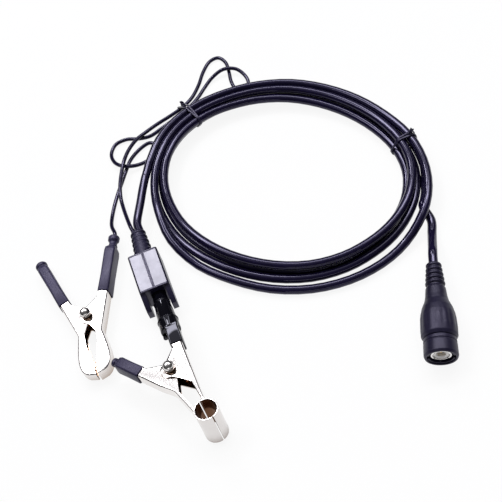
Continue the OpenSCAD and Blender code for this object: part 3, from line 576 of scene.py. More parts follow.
class GrownTree(NodeMaker):
    """A geometry node tree that repeats a mesh, with named inputs."""

    def __init__(self, name, **labels):
        super().__init__(bpy.data.node_groups.new(name, "GeometryNodeTree"))
        new_sockets(self.tree, "OUTPUT", {"Geometry": ["Geometry"]})
        self.inputs = new_sockets(self.tree, "INPUT", {**labels, "Material": ["Material"]})
        self.values = self.tree.nodes.new("NodeGroupInput").outputs

    def ring(self, resolution, radius, wide, high):
        """Circle drawn out to an oval curve."""
        circle = self.add("GeometryNodeCurvePrimitiveCircle", Resolution=resolution, Radius=radius)
        return self.add("GeometryNodeTransform", Geometry=circle.outputs[0],
                        Scale=self.vector(wide, high, 1.0)).outputs[0]

    def close(self, count, offset, mesh, **spread):
        """Repeats a mesh on a row of points, realizes it, sets its material and ends the tree."""
        row = self.add("GeometryNodeMeshLine", [("mode", "OFFSET")], Count=count, Offset=offset)
        copies = self.add("GeometryNodeInstanceOnPoints", Points=row.outputs[0],
                          Instance=mesh.outputs[0], **spread)
        real = self.add("GeometryNodeRealizeInstances", Geometry=copies.outputs[0])
        coated = self.add("GeometryNodeSetMaterial", Geometry=real.outputs[0],
                          Material=self.values["Material"])
        self.add("NodeGroupOutput", Geometry=coated.outputs[0])
        return self

    def grow(self, name, matrix, slot, replaces=(), **values):
        """Runs the tree with these values and keeps the result as a plain mesh piece."""
        obj = linked(name, bpy.data.meshes.new(name))
        modifier = obj.modifiers.new("Grown", "NODES")
        modifier.node_group = self.tree
        for label, value in values.items():
            modifier[self.inputs[label.replace("_", " ")].identifier] = value
        modifier[self.inputs["Material"].identifier] = finish(slot)
        settled(obj, matrix, slot, replaces=replaces)


@cache
def rib_tree():
    """Rings in a row, each wider or narrower than the last, on a round or oval boot."""
    tree = GrownTree("Rib row", Int=["Count"], Float=["Pitch", "Drift", "Radius", "Growth", "Oval",
                                                      "Rib width", "Rib height"])
    values = tree.values
    oval = tree.ring(72, values["Radius"], values["Oval"], 1.0)
    profile = tree.ring(14, 0.5, values["Rib height"], values["Rib width"])
    rib = tree.add("GeometryNodeCurveToMesh", Curve=oval, Profile_Curve=profile)
    index = tree.add("GeometryNodeInputIndex").outputs[0]
    grown = tree.math("ADD", tree.math("MULTIPLY", index, values["Growth"]), 1.0)
    return tree.close(values["Count"], tree.vector(values["Drift"], 0.0, values["Pitch"]), rib,
                      Scale=tree.vector(grown, grown, 1.0))


@cache
def spiral_tree():
    """Round wire wound in one or more parallel spirals."""
    tree = GrownTree("Wound wire", Int=["Strands"],
                     Float=["Rotations", "Radius", "Height", "Wire", "Flatness"])
    values = tree.values
    spiral = tree.add("GeometryNodeCurveSpiral", Resolution=24, Rotations=values["Rotations"],
                      Start_Radius=values["Radius"], End_Radius=values["Radius"], Height=values["Height"])
    profile = tree.ring(12, values["Wire"], 1.0, values["Flatness"])
    strand = tree.add("GeometryNodeCurveToMesh", Curve=spiral.outputs[0], Profile_Curve=profile,
                      Fill_Caps=True)
    index = tree.add("GeometryNodeInputIndex").outputs[0]
    angle = tree.math("MULTIPLY", index, tree.math("DIVIDE", 2 * math.pi, values["Strands"]))
    return tree.close(values["Strands"], (0.0, 0.0, 0.0), strand, Rotation=tree.vector(0.0, 0.0, angle))


def shader_group(name, inputs, outputs):
    """A new shader node group: its maker, and the sockets that it gets and gives."""
    tree = bpy.data.node_groups.new(name, "ShaderNodeTree")
    new_sockets(tree, "INPUT", inputs)
    new_sockets(tree, "OUTPUT", outputs)
    source, sink = (tree.nodes.new("NodeGroup" + way) for way in ("Input", "Output"))
    return NodeMaker(tree), source.outputs, sink.inputs


# Noise scales are per metre
SPECK_SCALE = 2600.0
DUST_PATCH_SCALE = 90.0
DUST_COLOUR = (0.30, 0.29, 0.30, 1.0)
SMUDGE_SCALE = 110.0
LINE_SCALE = 5200.0
LINE_STRETCH = (1.0, 0.06, 1.0)
LINE_TURN = 0.3
LINE_SHARE = 0.3
LINE_RELIEF = 10
# How far a hollow is looked for by the painted shade, in metres, and the openness where it is all painted
# shade or none
HOLLOW_REACH = 12 * MM
HOLLOW_RANGE = (0.38, 0.82)


@cache
def surface_group():
    """Moulded or rolled surface: clouds in the colour, fine grain in height and smudges of polish."""
    maker, source, sink = shader_group(
        "Worked surface",
        {"Color": ["Colour", "Second colour"], "Float": ["Cloud scale", "Grain scale", "Dust"]},
        {"Color": ["Colour"], "Float": ["Smudges", "Height"]})
    place = maker.add("ShaderNodeTexCoord").outputs["Object"]
    clouds = maker.ramp(maker.noise(place, source["Cloud scale"], 3.0), 0.35, 0.68)
    cloudy = maker.blend(clouds, source["Colour"], source["Second colour"])
    specks = maker.add("ShaderNodeTexVoronoi", Vector=place, Scale=SPECK_SCALE).outputs["Distance"]
    patches = maker.noise(place, DUST_PATCH_SCALE, 2.0)
    dust = maker.math("MULTIPLY", maker.ramp(specks, 0.16, 0.08), maker.ramp(patches, 0.56, 0.66),
                      source["Dust"])
    maker.feed(sink["Colour"], maker.blend(dust, cloudy, DUST_COLOUR))
    smudges = maker.noise(place, SMUDGE_SCALE, 6.0, 0.62)
    maker.feed(sink["Smudges"], maker.ramp(smudges, 0.3, 0.72))
    maker.feed(sink["Height"], maker.noise(place, source["Grain scale"], 3.0, 0.6))
    return maker.tree


@cache
def drawn_group():
    """Fine lines left by rolling or brushing, all in one direction."""
    maker, source, sink = shader_group("Drawn lines", {"Float": ["Scale"]}, {"Float": ["Lines", "Height"]})
    place = maker.add("ShaderNodeTexCoord").outputs["Object"]
    aligned = maker.add("ShaderNodeMapping", Vector=place, Rotation=(0.0, 0.0, LINE_TURN))
    drawn = maker.add("ShaderNodeMapping", Vector=aligned.outputs[0], Scale=LINE_STRETCH)
    lines = maker.noise(drawn.outputs[0], source["Scale"], 5.0, 0.7)
    maker.feed(sink["Lines"], maker.ramp(lines, 0.3, 0.7))
    maker.feed(sink["Height"], lines)
    return maker.tree


# ---------- finishes ----------
def finish_table():
    """Values of every finish by its material slot; cloud, grain and bump sizes are in millimetres."""
    scene = bpy.context.scene
    nickel_colour, boot_colour = scene.probe_clips.nickel, scene.probe_clips.vinyl
    plastic, plate = scene.probe_case.plastic, scene.probe_case.plate
    vinyl = dict(lift=1.5, rough=(0.34, 0.5), grain=0.22, bump=0.05, clouds=14, dust=0.2, specular=0.4,
                 tint=(0.8, 0.76, 1.0))
    nickel = dict(lift=1.1, metal=1.0, rough=(0.06, 0.16), grain=0.3, bump=0.012, clouds=30, lines=0.02)
    inner = dict(lift=1.3, rough=(0.25, 0.4), grain=0.2, bump=0.03, clouds=20)
    jacket = dict(colour=scene.probe_cables.jacket, lift=1.5, bump=0.006, clouds=9, dust=0.06,
                  tint=(0.74, 0.7, 1.0))
    return {
        "case_plastic": dict(vinyl, colour=plastic, lift=1.7, rough=(0.26, 0.42), grain=0.18, bump=0.045,
                             clouds=12, specular=0.5),
        "face_plate": dict(colour=plate, lift=1.3, rough=(0.34, 0.5), grain=0.12, bump=0.02, clouds=7,
                           lines=0.03, specular=0.2),
        "cable_boot_vinyl": dict(vinyl, colour=plastic, lift=1.8),
        "circuit_board": dict(inner, colour=(0.012, 0.11, 0.035), lift=1.5, grain=0.3),
        "ceramic": dict(inner, colour=(0.36, 0.14, 0.035)),
        "resistor": dict(inner, colour=(0.10, 0.24, 0.42), rough=(0.3, 0.45)),
        "wire_insulation": dict(inner, colour=(0.35, 0.02, 0.015), lift=1.2, rough=(0.35, 0.5), grain=0.3,
                                clouds=15),
        "cable_jacket": dict(jacket, rough=(0.05, 0.09), grain=0.35, specular=0.45),
        "lead_jacket": dict(jacket, rough=(0.08, 0.14), grain=0.3, specular=0.4),
        "stem_plastic": dict(colour=(0.002, 0.0019, 0.0036), lift=1.4, rough=(0.03, 0.06), grain=0.5,
                             bump=0.004, clouds=12, dust=0.03, specular=0.35, tint=(0.85, 0.85, 1.0)),
        # Both nickels get painted shade and painted reflection, a brown tint, in their hollows
        "clip_nickel": dict(nickel, colour=nickel_colour, lift=1.08, shade=(0.30, 0.20, 0.135)),
        "sleeve_nickel": dict(nickel, colour=tuple(0.86 * c for c in nickel_colour), rough=(0.08, 0.2),
                              shade=(0.11, 0.045, 0.018)),
        "spring_steel": dict(nickel, colour=(0.62, 0.60, 0.58), rough=(0.15, 0.3)),
        "clip_boot_vinyl": dict(vinyl, colour=boot_colour),
        "lug_brass": dict(nickel, colour=(0.62, 0.42, 0.16)),
        "plug_vinyl": dict(vinyl, colour=scene.probe_plug.vinyl),
        "connector_nickel": dict(nickel, colour=(0.84, 0.82, 0.82), lift=1.05, rough=(0.12, 0.25)),
        "white_insulator": dict(colour=(0.80, 0.78, 0.75), lift=1.05, rough=(0.35, 0.5), grain=0.4,
                                bump=0.02, clouds=8),
        "contact_gold": dict(nickel, colour=(0.83, 0.55, 0.20)),
        "gasket_rubber": dict(vinyl, colour=(0.02, 0.02, 0.022), lift=1.4, rough=(0.5, 0.7)),
        "tie_plastic": dict(vinyl, colour=(0.009, 0.0075, 0.022), lift=1.6, rough=(0.25, 0.4)),
    }


@cache
def finish(slot):
    """Material for a slot, built the first time that it is asked for."""
    return build_finish(slot, **finish_table()[slot])


def build_finish(slot, colour, lift, rough, grain, bump, clouds, metal=0.0, lines=0.0, dust=0.0,
                 specular=0.5, tint=(1.0, 1.0, 1.0), shade=None):
    """Procedural material: clouded colour, smudged polish and fine relief, with drawn lines on metal.

    lift is how much brighter the clouds' second colour is, and shade is the painted shade and painted
    reflection that a bright metal takes on inside hollows, where it mirrors itself.
    """
    material = bpy.data.materials.new(slot)
    material.use_nodes = True
    material.diffuse_color = (*colour, 1.0)
    maker = NodeMaker(material.node_tree)
    shader = material.node_tree.nodes["Principled BSDF"]
    second = tuple(min(1.0, c * lift) for c in colour)
    surface = maker.add("ShaderNodeGroup", [("node_tree", surface_group())], Colour=(*colour, 1.0),
                        Second_colour=(*second, 1.0), Cloud_scale=1 / (clouds * MM),
                        Grain_scale=1 / (grain * MM), Dust=dust)
    tone, polish, height = (surface.outputs[label] for label in ("Colour", "Smudges", "Height"))
    # Painted shade and painted reflection: hollows found by ambient occlusion take the shade colour
    if shade:
        hollow = maker.add("ShaderNodeAmbientOcclusion", [("samples", 8)], Distance=HOLLOW_REACH)
        tone = maker.blend(maker.ramp(hollow.outputs["AO"], *HOLLOW_RANGE), (*shade, 1.0), tone)
    if lines:
        drawn = maker.add("ShaderNodeGroup", [("node_tree", drawn_group())], Scale=LINE_SCALE)
        polish = maker.math("ADD", maker.math("MULTIPLY", polish, 1 - LINE_SHARE),
                            maker.math("MULTIPLY", drawn.outputs["Lines"], LINE_SHARE))
        height = maker.math("ADD", height, maker.math("MULTIPLY", drawn.outputs["Height"],
                                                      lines * LINE_RELIEF))
    relief = maker.add("ShaderNodeBump", Strength=0.35, Distance=bump * MM, Height=height)
    for label, value in (("Base Color", tone), ("Roughness", maker.ramp(polish, 0.0, 1.0, *rough)),
                         ("Normal", relief.outputs["Normal"]), ("Metallic", metal),
                         ("Specular IOR Level", specular), ("Specular Tint", (*tint, 1.0))):
        maker.feed(shader.inputs[label], value)
    return material


# ---------- stage ----------
# The camera's place is in millimetres, like the pieces
CAMERA_AT = (25.887, -233.559, 331.342)
CAMERA_RIGHT = Vector((0.92643, -0.33212, -0.17724))
CAMERA_UP = Vector((0.37336, 0.75035, 0.54550))
CAMERA_AHEAD = Vector((0.04818, 0.57155, -0.81915))
# The stage's sizes are in metres
STAGE_CENTRE = Vector((0.045, 0.015, 0.0))
LAMP_DISTANCE = 0.8
FLOOR_HALF = 4.0
FLOOR_DROP = 0.00005
PAPER_COLOUR = (0.86, 0.86, 0.87, 1.0)
PAPER_GLOW = 0.9
WHITE = (1.0, 1.0, 1.0, 1.0)
TENT_COLOUR = (0.97, 0.97, 1.0, 1.0)
# Heights on the sky's unit sphere where each band starts, is full, starts to fade and ends
HIGH_TUBE = (0.79, 0.81, 0.85, 0.87)
LOW_TUBE = (0.62, 0.64, 0.67, 0.69)
HIGH_TUBE_LEVEL = 15.0
LOW_TUBE_LEVEL = 4.5
# Azimuth clockwise from +Y, elevation, size and radiance
LAMPS = {
    "front_strip": (186, 17, (0.9, 0.07), 3.0),
    "key_box": (302, 60, (0.16, 0.16), 6.0),
    "side_box": (74, 56, (0.16, 0.5), 2.6),
    "glint": (352, 43.5, (0.05, 0.12), 35.0),
}


class PROBE_OT_stage(bpy.types.Operator):
    """Make the camera, the floor, the surroundings and the lamps"""

    bl_idname = "probe.stage"
    bl_label = "Stage"

    def execute(self, context):
        stage = context.scene.probe_stage
        context.scene.view_settings.view_transform = "Standard"
        self.camera(context.scene, stage.lens)
        self.floor()
        self.surroundings(context.scene, stage.sky)
        for name, (azimuth, elevation, size, radiance) in LAMPS.items():
            self.lamp(name, azimuth, elevation, size, radiance * stage.softbox)
        return {"FINISHED"}

    def camera(self, scene, lens):
        """Camera that looks down on the probe from the front."""
        data = bpy.data.cameras.new("camera")
        data.lens, data.sensor_width = lens, 36.0
        data.clip_start, data.clip_end = 0.01, 50.0
        camera = linked("camera", data)
        matrix = Matrix((CAMERA_RIGHT, CAMERA_UP, -CAMERA_AHEAD)).transposed().to_4x4()
        matrix.translation = Vector(CAMERA_AT) * MM
        camera.matrix_world = matrix
        scene.camera = camera

    def floor(self):
        """Pale sheet that takes the shadows and is almost white to the camera and to gloss."""
        mesh = bpy.data.meshes.new("floor")
        corners = ((-1, -1), (1, -1), (1, 1), (-1, 1))
        mesh.from_pydata([(x * FLOOR_HALF, y * FLOOR_HALF, -FLOOR_DROP) for x, y in corners], [],
                         [(0, 1, 2, 3)])
        floor = linked("floor", mesh)
        material = bpy.data.materials.new("white_paper")
        material.use_nodes = True
        material.node_tree.nodes.clear()
        maker = NodeMaker(material.node_tree)
        paper = maker.add("ShaderNodeBsdfDiffuse", Color=PAPER_COLOUR)
        glow = maker.add("ShaderNodeEmission", Color=WHITE, Strength=1.0)
        path = maker.add("ShaderNodeLightPath").outputs
        seen = maker.math("MAXIMUM", path["Is Camera Ray"], path["Is Glossy Ray"],
                          path["Is Transmission Ray"])
        share = maker.math("MULTIPLY", seen, PAPER_GLOW)
        maker.mixed_surface("ShaderNodeOutputMaterial", share, paper, glow)
        mesh.materials.append(material)

    def surroundings(self, scene, sky):
        """White to the camera; to the object a dark room with a soft ceiling behind and two tubes."""
        world = bpy.data.worlds.new("studio")
        scene.world = world
        world.use_nodes = True
        world.node_tree.nodes.clear()
        maker = NodeMaker(world.node_tree)
        way = maker.add("ShaderNodeTexCoord").outputs["Generated"]
        split = maker.add("ShaderNodeSeparateXYZ", Vector=way).outputs
        height, back = split["Z"], split["Y"]
        ahead = maker.ramp(back, 0.25, 0.4)
        ceiling = maker.math("MULTIPLY", maker.ramp(height, 0.62, 0.76), maker.ramp(back, -0.25, 0.35))
        high_tube = maker.math("MULTIPLY", maker.band(height, *HIGH_TUBE), ahead, HIGH_TUBE_LEVEL)
        low_tube = maker.math("MULTIPLY", maker.band(height, *LOW_TUBE), ahead, LOW_TUBE_LEVEL)
        walls = maker.ramp(height, 0.1, 0.8, 0.035, 0.13)
        level = maker.math("MULTIPLY", maker.math("ADD", ceiling, high_tube, low_tube, walls), sky)
        tent = maker.add("ShaderNodeBackground", Color=TENT_COLOUR, Strength=level)
        white = maker.add("ShaderNodeBackground", Color=WHITE, Strength=1.0)
        seen = maker.add("ShaderNodeLightPath").outputs["Is Camera Ray"]
        maker.mixed_surface("ShaderNodeOutputWorld", seen, tent, white)

    def lamp(self, name, azimuth, elevation, size, radiance):
        """An area lamp of this radiance, aimed at the middle of the object."""
        a, e = math.radians(azimuth), math.radians(elevation)
        way = Vector((math.sin(a) * math.cos(e), math.cos(a) * math.cos(e), math.sin(e)))
        data = bpy.data.lights.new(name, "AREA")
        data.shape = "RECTANGLE"
        data.size, data.size_y = size
        data.energy = radiance * math.pi * size[0] * size[1]
        lamp = linked(name, data)
        lamp.location = STAGE_CENTRE + way * LAMP_DISTANCE
        lamp.rotation_euler = way.to_track_quat("Z", "Y").to_euler()


# ---------- cables ----------
CASE_LEAD_ROUTE = [
    (12.4, 54.6, 7.1), (9.4, 48.4, 7.0), (6.7, 42.4, 6.8), (4.3, 37.4, 6.6), (2.6, 33.6, 6.5),
    (1.8, 30.6, 6.5),
]
PLUG_LEAD_ROUTE = [
    (122.9, -24.6, 2.2), (120.1, -31.2, 2.5), (118, -35.8, 4.1), (116.2, -39.8, 6), (115, -42.4, 7.2),
    (113.9, -44.79, 7.5),
]
GROUND_ROUTE = [
    (-1.2, 28.5, 6.5), (-1.6, 32, 6.3), (-1.9, 39, 4.8), (-2, 46, 3.4), (-1.6, 53, 2.9), (0, 59.5, 3.6),
    (2.9, 66, 4.9), (6.4, 73, 5.2), (10.5, 79.5, 4.2), (15.5, 84.6, 3.2), (21.5, 88, 2.2), (28, 90.8, 1.6),
    (36, 92.8, 1.7), (43, 95.2, 1.7), (49.4, 99.6, 1.2), (55.2, 106.4, 1), (60.2, 114, 1), (65.6, 119.6, 1),
    (70.8, 120, 1), (73.2, 114.6, 1), (72.6, 107.6, 1), (71.4, 100.6, 1), (71.8, 94.8, 1), (75.4, 92.2, 1),
    (79, 95, 1), (79, 100.6, 1.6), (76, 106, 2.8), (70, 108.6, 3), (63.4, 107.4, 1.6), (57.6, 103.2, 1),
    (51.8, 97.6, 1.2), (45, 92.8, 1.7), (37, 89.6, 1.7), (29.6, 87.4, 1.2), (22.6, 85.4, 1), (16.4, 86.6, 1),
    (10.6, 89.2, 1), (4.6, 88.6, 1), (0.9, 83.4, 1), (1.2, 76.6, 2), (4.4, 71.4, 3.1), (10, 69.4, 2.3),
    (16, 70.4, 1), (21, 73, 1), (23.6, 77.2, 1), (20.8, 81.2, 1), (15, 79.6, 1), (9, 75.2, 1),
    (4.8, 69.2, 1), (1.2, 63.4, 1), (-2.4, 57.6, 1), (-6, 51, 1), (-8.8, 44.4, 1.4), (-10, 38.6, 2.8),
]


def coil_depth(u, pitch):
    """How far inside the outermost oval the cable's centre lies, and how loose it is there."""
    before_end = u - COIL_END
    if LOOSE_DEPTH[0][0] <= before_end <= LOOSE_DEPTH[-1][0]:
        return between(before_end, LOOSE_DEPTH)
    wound = pitch * (min(u, 2 * COIL_MIDDLE - u) - COIL_START) / 360
    return wound + between(u % 360, COIL_DRIFT)


def coil_height(u, radius):
    """Height of the cable's centre: two layers, and a loose stretch that lies on the bench."""
    climb = smooth_step((u - COIL_MIDDLE + 90) / 180)
    fall = between(u - COIL_END, LOOSE_FALL)
    return mix(COIL_FLOOR + radius + LAYER_STEP * climb, radius, fall)


def oval_point(u, depth):
    """Point of the coil's oval, moved inwards by a depth, and the outward direction there."""
    a = math.radians(u)
    normal = Vector((COIL_B * math.cos(a), COIL_A * math.sin(a))).normalized()
    p = Vector((COIL_A * math.cos(a), COIL_B * math.sin(a))) - normal * depth
    tilt = Matrix.Rotation(math.radians(COIL_TILT), 2)
    return tilt @ p + Vector(COIL_CENTRE), tilt @ normal


def coax_path(sizes):
    """Centre line of the coaxial cable from the case to the plug, in millimetres."""
    diameter, pitch = sizes.coax_d / MM, sizes.turn_pitch / MM

    def place(u):
        p, _ = oval_point(u, coil_depth(u, pitch))
        return Vector((p.x, p.y, coil_height(u, diameter / 2)))

    def onward(end, before):
        """Two points straight on from an end of the coil."""
        way = (end - before).normalized() * diameter
        return end + way, end + way * 2

    count = int((COIL_END - COIL_START) / COIL_STEP)
    rings = [place(COIL_START + i * COIL_STEP) for i in range(count + 1)]
    coil = [Vector((p.x, p.y, max(p.z, diameter / 2))) for p in catmull(rings, 3)]
    near_plug = catmull([coil[0], *onward(coil[0], place(COIL_START + 1)), *PLUG_LEAD_ROUTE, PLUG_TAIL], 5)
    near_case = catmull([coil[-1], *onward(coil[-1], place(COIL_END - 1)), *CASE_LEAD_ROUTE, COAX_EXIT], 5)
    return [*reversed(near_case), *reversed(coil[1:-1]), *near_plug]


def ground_path():
    """Centre line of the ground lead from the case to the ground clip's fixed handle, in millimetres."""
    handle, boot_end = handle_frame(GROUND_CLIP, GROUND_LEAN), GROUND_HANDLE_L + LEAD_BOOT_PAST
    ends = [handle @ Vector((-FLANGE_D / 2, along, 0)) / MM for along in (boot_end + 2, boot_end)]
    return catmull([LEAD_EXIT, *GROUND_ROUTE, *ends], 5)


def cable(name, path, diameter, slot, *nodes):
    """A cable as one open curve with a round jacket; its diameter is in metres."""
    data = bpy.data.curves.new(name, "CURVE")
    data.dimensions = "3D"
    data.bevel_depth = diameter / 2
    data.bevel_resolution = 7
    data.use_fill_caps = True
    line = data.splines.new("POLY")
    line.points.add(len(path) - 1)
    for point, place in zip(line.points, path):
        point.co = (*(Vector(place) * MM), 1.0)
    line.use_smooth = True
    data.materials.append(finish(slot))
    obj = linked(name, data)
    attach(obj, "root")
    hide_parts(*nodes)
    return obj


class PROBE_OT_cables(bpy.types.Operator):
    """Lay the coaxial cable and the ground lead along their routes"""

    bl_idname = "probe.cables"
    bl_label = "Cables"

    def execute(self, context):
        sizes = context.scene.probe_cables
        coax = cable("coax_cable", coax_path(sizes), sizes.coax_d, "cable_jacket",
                     "coax_case_lead", "coax_coil", "coax_plug_lead")
        lead = cable("ground_lead_wire", ground_path(), sizes.lead_d, "lead_jacket", "ground_lead")
        return {"FINISHED"}


# ---------- twist ties ----------
BAND_HALF_W = 0.52
BAND_HALF_T = 0.29
BAND_CORNER = 0.24
BAND_GAP = 0.02
BAND_SWAY = 1.1
BAND_LIFT = 0.28
TWIST_R = 0.5
TWIST_L = 3.2
TWIST_SINK = 0.3
TIE_REACH = 20.0
# Name, node, angle on the coil, slant of the band and direction of its twisted ends
TIES = (("twist_tie_left", "coil_tie_left", 161, 1, 30), ("twist_tie_right", "coil_tie_right", 49, -1, 60))


def crossings(path, matrix, radius):
    """Where a cable passes through a tie's plane, as (out, up, radius) near its frame's origin."""
    inverse = matrix.inverted()
    local = [inverse @ (Vector(p) * MM) for p in path]
    found = []
    for a, b in zip(local, local[1:]):
        if (a.y > 0) != (b.y > 0):
            p = a.lerp(b, a.y / (a.y - b.y))
            if abs(p.x) < TIE_REACH:
                found.append((p.x, p.z, radius))
    return found


def bundle_ring(rounds, gap, steps=120):
    """Closed line that a band takes round a bundle of (out, up, radius) rounds, anticlockwise."""
    line = []
    for k in range(steps):
        a = 2 * math.pi * k / steps
        way = Vector((math.cos(a), math.sin(a)))
        x, z, r = max(rounds, key=lambda c: c[0] * way.x + c[1] * way.y + c[2])
        line.append(Vector((x, z)) + way * (r + gap))
    return resampled([*line, line[0]], steps + 1)[:-1]


class PROBE_OT_ties(bpy.types.Operator):
    """Wrap the two twist ties round the coil, each with its ends twisted together"""

    bl_idname = "probe.ties"
    bl_label = "Twist Ties"

    def execute(self, context):
        sizes = context.scene.probe_cables
        coax, lead = coax_path(sizes), ground_path()
        for name, node, u, slant, ends in TIES:
            centre, normal = oval_point(u, 0.0)
            matrix = placed((centre.x * MM, centre.y * MM, 0.0),
                            ("Z", math.degrees(math.atan2(normal.y, normal.x))))
            rounds = crossings(coax, matrix, sizes.coax_d / MM / 2)
            rounds += crossings(lead, matrix, sizes.lead_d / MM / 2)
            ring = bundle_ring(rounds, BAND_HALF_T + BAND_GAP)
            middle = sum(ring, Vector((0, 0))) / len(ring)
            piece(name, self.band(ring, middle, slant), matrix, "tie_plastic", replaces=(node,), sharp=60)
            self.ends(name + "_ends", ring, middle, ends, matrix)
        return {"FINISHED"}

    def band(self, ring, middle, slant):
        """Two crossing turns of flat plastic band, the second over the first on top."""
        path = []
        for k in range(2 * len(ring)):
            p = ring[k % len(ring)]
            swing = math.cos(math.pi * k / len(ring))
            over = BAND_LIFT * smooth_step((p.y - middle.y) / 2) * (0.5 - 0.5 * swing)
            q = p + (p - middle).normalized() * over
            path.append(Vector((q.x, BAND_SWAY * slant * swing, q.y)))
        section = box_ring(-BAND_HALF_W, BAND_HALF_W, -BAND_HALF_T, BAND_HALF_T, BAND_CORNER, 4)
        rows = []
        for i, p in enumerate(path):
            t = (path[(i + 1) % len(path)] - path[i - 1]).normalized()
            out = t.cross(Vector((0, 1, 0))).normalized()
            side = out.cross(t)
            rows.append([p + side * x + out * y for x, y in section])
        return skin([*rows, rows[0]])

    def ends(self, name, ring, middle, degrees, matrix):
        """The band's two ends, twisted into a short nub."""
        way = Vector((math.cos(math.radians(degrees)), math.sin(math.radians(degrees))))
        start = max(ring, key=lambda p: (p - middle).normalized().dot(way)) - TWIST_SINK * way
        spiral_tree().grow(name, turned(shifted(matrix, start.x, 0, start.y), 90 - degrees, "Y"),
                           "tie_plastic", Strands=2, Rotations=1.2, Radius=TWIST_R, Height=TWIST_L,
                           Wire=TWIST_R, Flatness=0.85)


# ---------- divider case ----------
# Width and height of the boot's core at both ends, and how far its middle drifts sideways
BOOT_ROOT = (9.2, 8.6)
BOOT_TIP = (7.0, 5.6)
BOOT_DRIFT = 0.7
BOOT_WAIST = 0.55
PLATE_EDGE = 0.1
RIB_SINK_X = 0.35
RIB_SINK_Y = 0.45
RIB_START = 1.3
RIB_STOP = BOOT_L - 1.6


class PROBE_OT_case(bpy.types.Operator):
    """Finish the divider case, its face plates and its ribbed cable boot"""

    bl_idname = "probe.case"
    bl_label = "Divider Case"

    def execute(self, context):
        sizes = context.scene.probe_case
        for half in ("case_left", "case_right"):
            dressed(half, "case_plastic", sizes.edge_r / MM)
        for plate in ("face_plate_left", "face_plate_right"):
            dressed(plate, "face_plate", PLATE_EDGE)
        self.boot_core()
        self.boot_ribs(sizes.rib_count + 1)
        return {"FINISHED"}

    def boot_core(self):
        """Oval tapered core with a smooth spine above and below."""
        sides, rim = 64, 1.2
        taper = [(mix(rim, BOOT_L - rim, s / 10), 1.0) for s in range(11)]
        rows = []
        for along, share in ((0.0, 1.0), (0.15, 1.0), *taper, (BOOT_L - 0.55, 0.98), (BOOT_L - 0.12, 0.86),
                             (BOOT_L, 0.7)):
            t = along / BOOT_L
            a = mix(BOOT_ROOT[0], BOOT_TIP[0], t) / 2 * share - BOOT_WAIST * smooth_step(along / 2.5)
            b = mix(BOOT_ROOT[1], BOOT_TIP[1], t) / 2 * share
            rows.append([(BOOT_DRIFT * t + a * math.copysign(abs(x) ** 0.9, x), b * y, along)
                         for x, y in arc(1.0, 0, 360, sides)[:-1]])
        piece("cable_boot_core", skin(rows, caps=True), CASE_BOOT, "cable_boot_vinyl",
              replaces=("case_cable_boot",), sharp=50)

    def boot_ribs(self, count):
        """Ribs on both sides of the boot's core."""
        pitch = (RIB_STOP - RIB_START) / (count - 1)
        wide, narrow = (mix(BOOT_ROOT[0], BOOT_TIP[0], y / BOOT_L) for y in (RIB_START, RIB_STOP))
        radius = mix(BOOT_ROOT[1], BOOT_TIP[1], RIB_START / BOOT_L) / 2 - RIB_SINK_Y
        rib_tree().grow(
            "cable_boot_ribs", shifted(CASE_BOOT, BOOT_DRIFT * RIB_START / BOOT_L, 0, RIB_START),
            "cable_boot_vinyl", Count=count, Pitch=pitch, Drift=BOOT_DRIFT * pitch / BOOT_L, Radius=radius,
            Growth=(narrow / wide - 1) / (count - 1), Oval=(wide / 2 - RIB_SINK_X) / radius,
            Rib_width=1.25, Rib_height=0.75)


# ---------- stem ----------
class PROBE_OT_stem(bpy.types.Operator):
    """Mould the glossy stem between the case and the pick-up clip"""

    bl_idname = "probe.stem"
    bl_label = "Stem"

    def execute(self, context):
        knob = spun(filleted([(0, 0), (1.15, 0), (1.15, 1.7), (0, 1.7)], 0.4), 32)
        knuckle = moved(knob, Matrix.Translation((-3.1, 1.6, STEM_FRONT - 1.3)))
        piece("stem_moulding", joined(self.barrel(), self.nose(), knuckle), STEM, "stem_plastic",
              replaces=("stem_boot",))
        repaint({"signal_wire": "wire_insulation"})
        return {"FINISHED"}

    def barrel(self):
        """Round barrel with a collar behind the nose and another before its seat in the yoke."""
        front, back, seat = STEM_FRONT, STEM_BACK - 2.2, STEM_BACK + 2.6
        outline = [(0, front), (4.25, front), (4.4, front + 0.8), (4.3, front + 5.4), (4.62, front + 5.6),
                   (4.62, front + 6), (4.2, front + 6.2), (3.5, back - 3.6), (3.76, back - 3.4),
                   (3.76, back - 3), (3.4, back - 2.8), (3.3, back), (3.2, back), (3.2, seat), (4.1, seat),
                   (4.1, seat + 1), (0, seat + 1)]
        return spun(filleted(outline, 0.35), 72)

    def nose(self):
        """Flat nose inside the fixed arm; its x is the clip plane's x, and its y the plane's -z."""
        tip, front, half_w, half_h = STEM_NOSE, STEM_FRONT, 2.8, 3.9
        rows = []
        for z, inset in ((tip, 0.45), (tip + 0.12, 0.16), (tip + 0.45, 0.0), (front - 0.6, 0.0),
                         (front + 0.1, -0.12), (front + 0.9, -0.2), (front + 1.6, 0.5)):
            ring = box_ring(NOSE_X - half_w + inset, NOSE_X + half_w - inset, -half_h + inset,
                            half_h - inset, 0.7)
            rows.append([(p.x, p.y, z) for p in ring])
        return skin(rows, caps=True)


# ---------- clip halves ----------
BEND_START = 5.5 - WAIST_Y
JAW_DROP = 1.6


def back_x(lean, y, waist=WAIST_X):
    """Distance of a half's back from the centre line, behind the waist."""
    return waist + (WAIST_Y + y) * math.tan(math.radians(lean))


def at_height(line, y):
    """Point of a line that runs steadily down in y."""
    for a, b in zip(line, line[1:]):
        if a.y >= y >= b.y:
            return a.lerp(b, (a.y - y) / max(a.y - b.y, 1e-9))
    return line[-1].copy() if y < line[-1].y else line[0].copy()


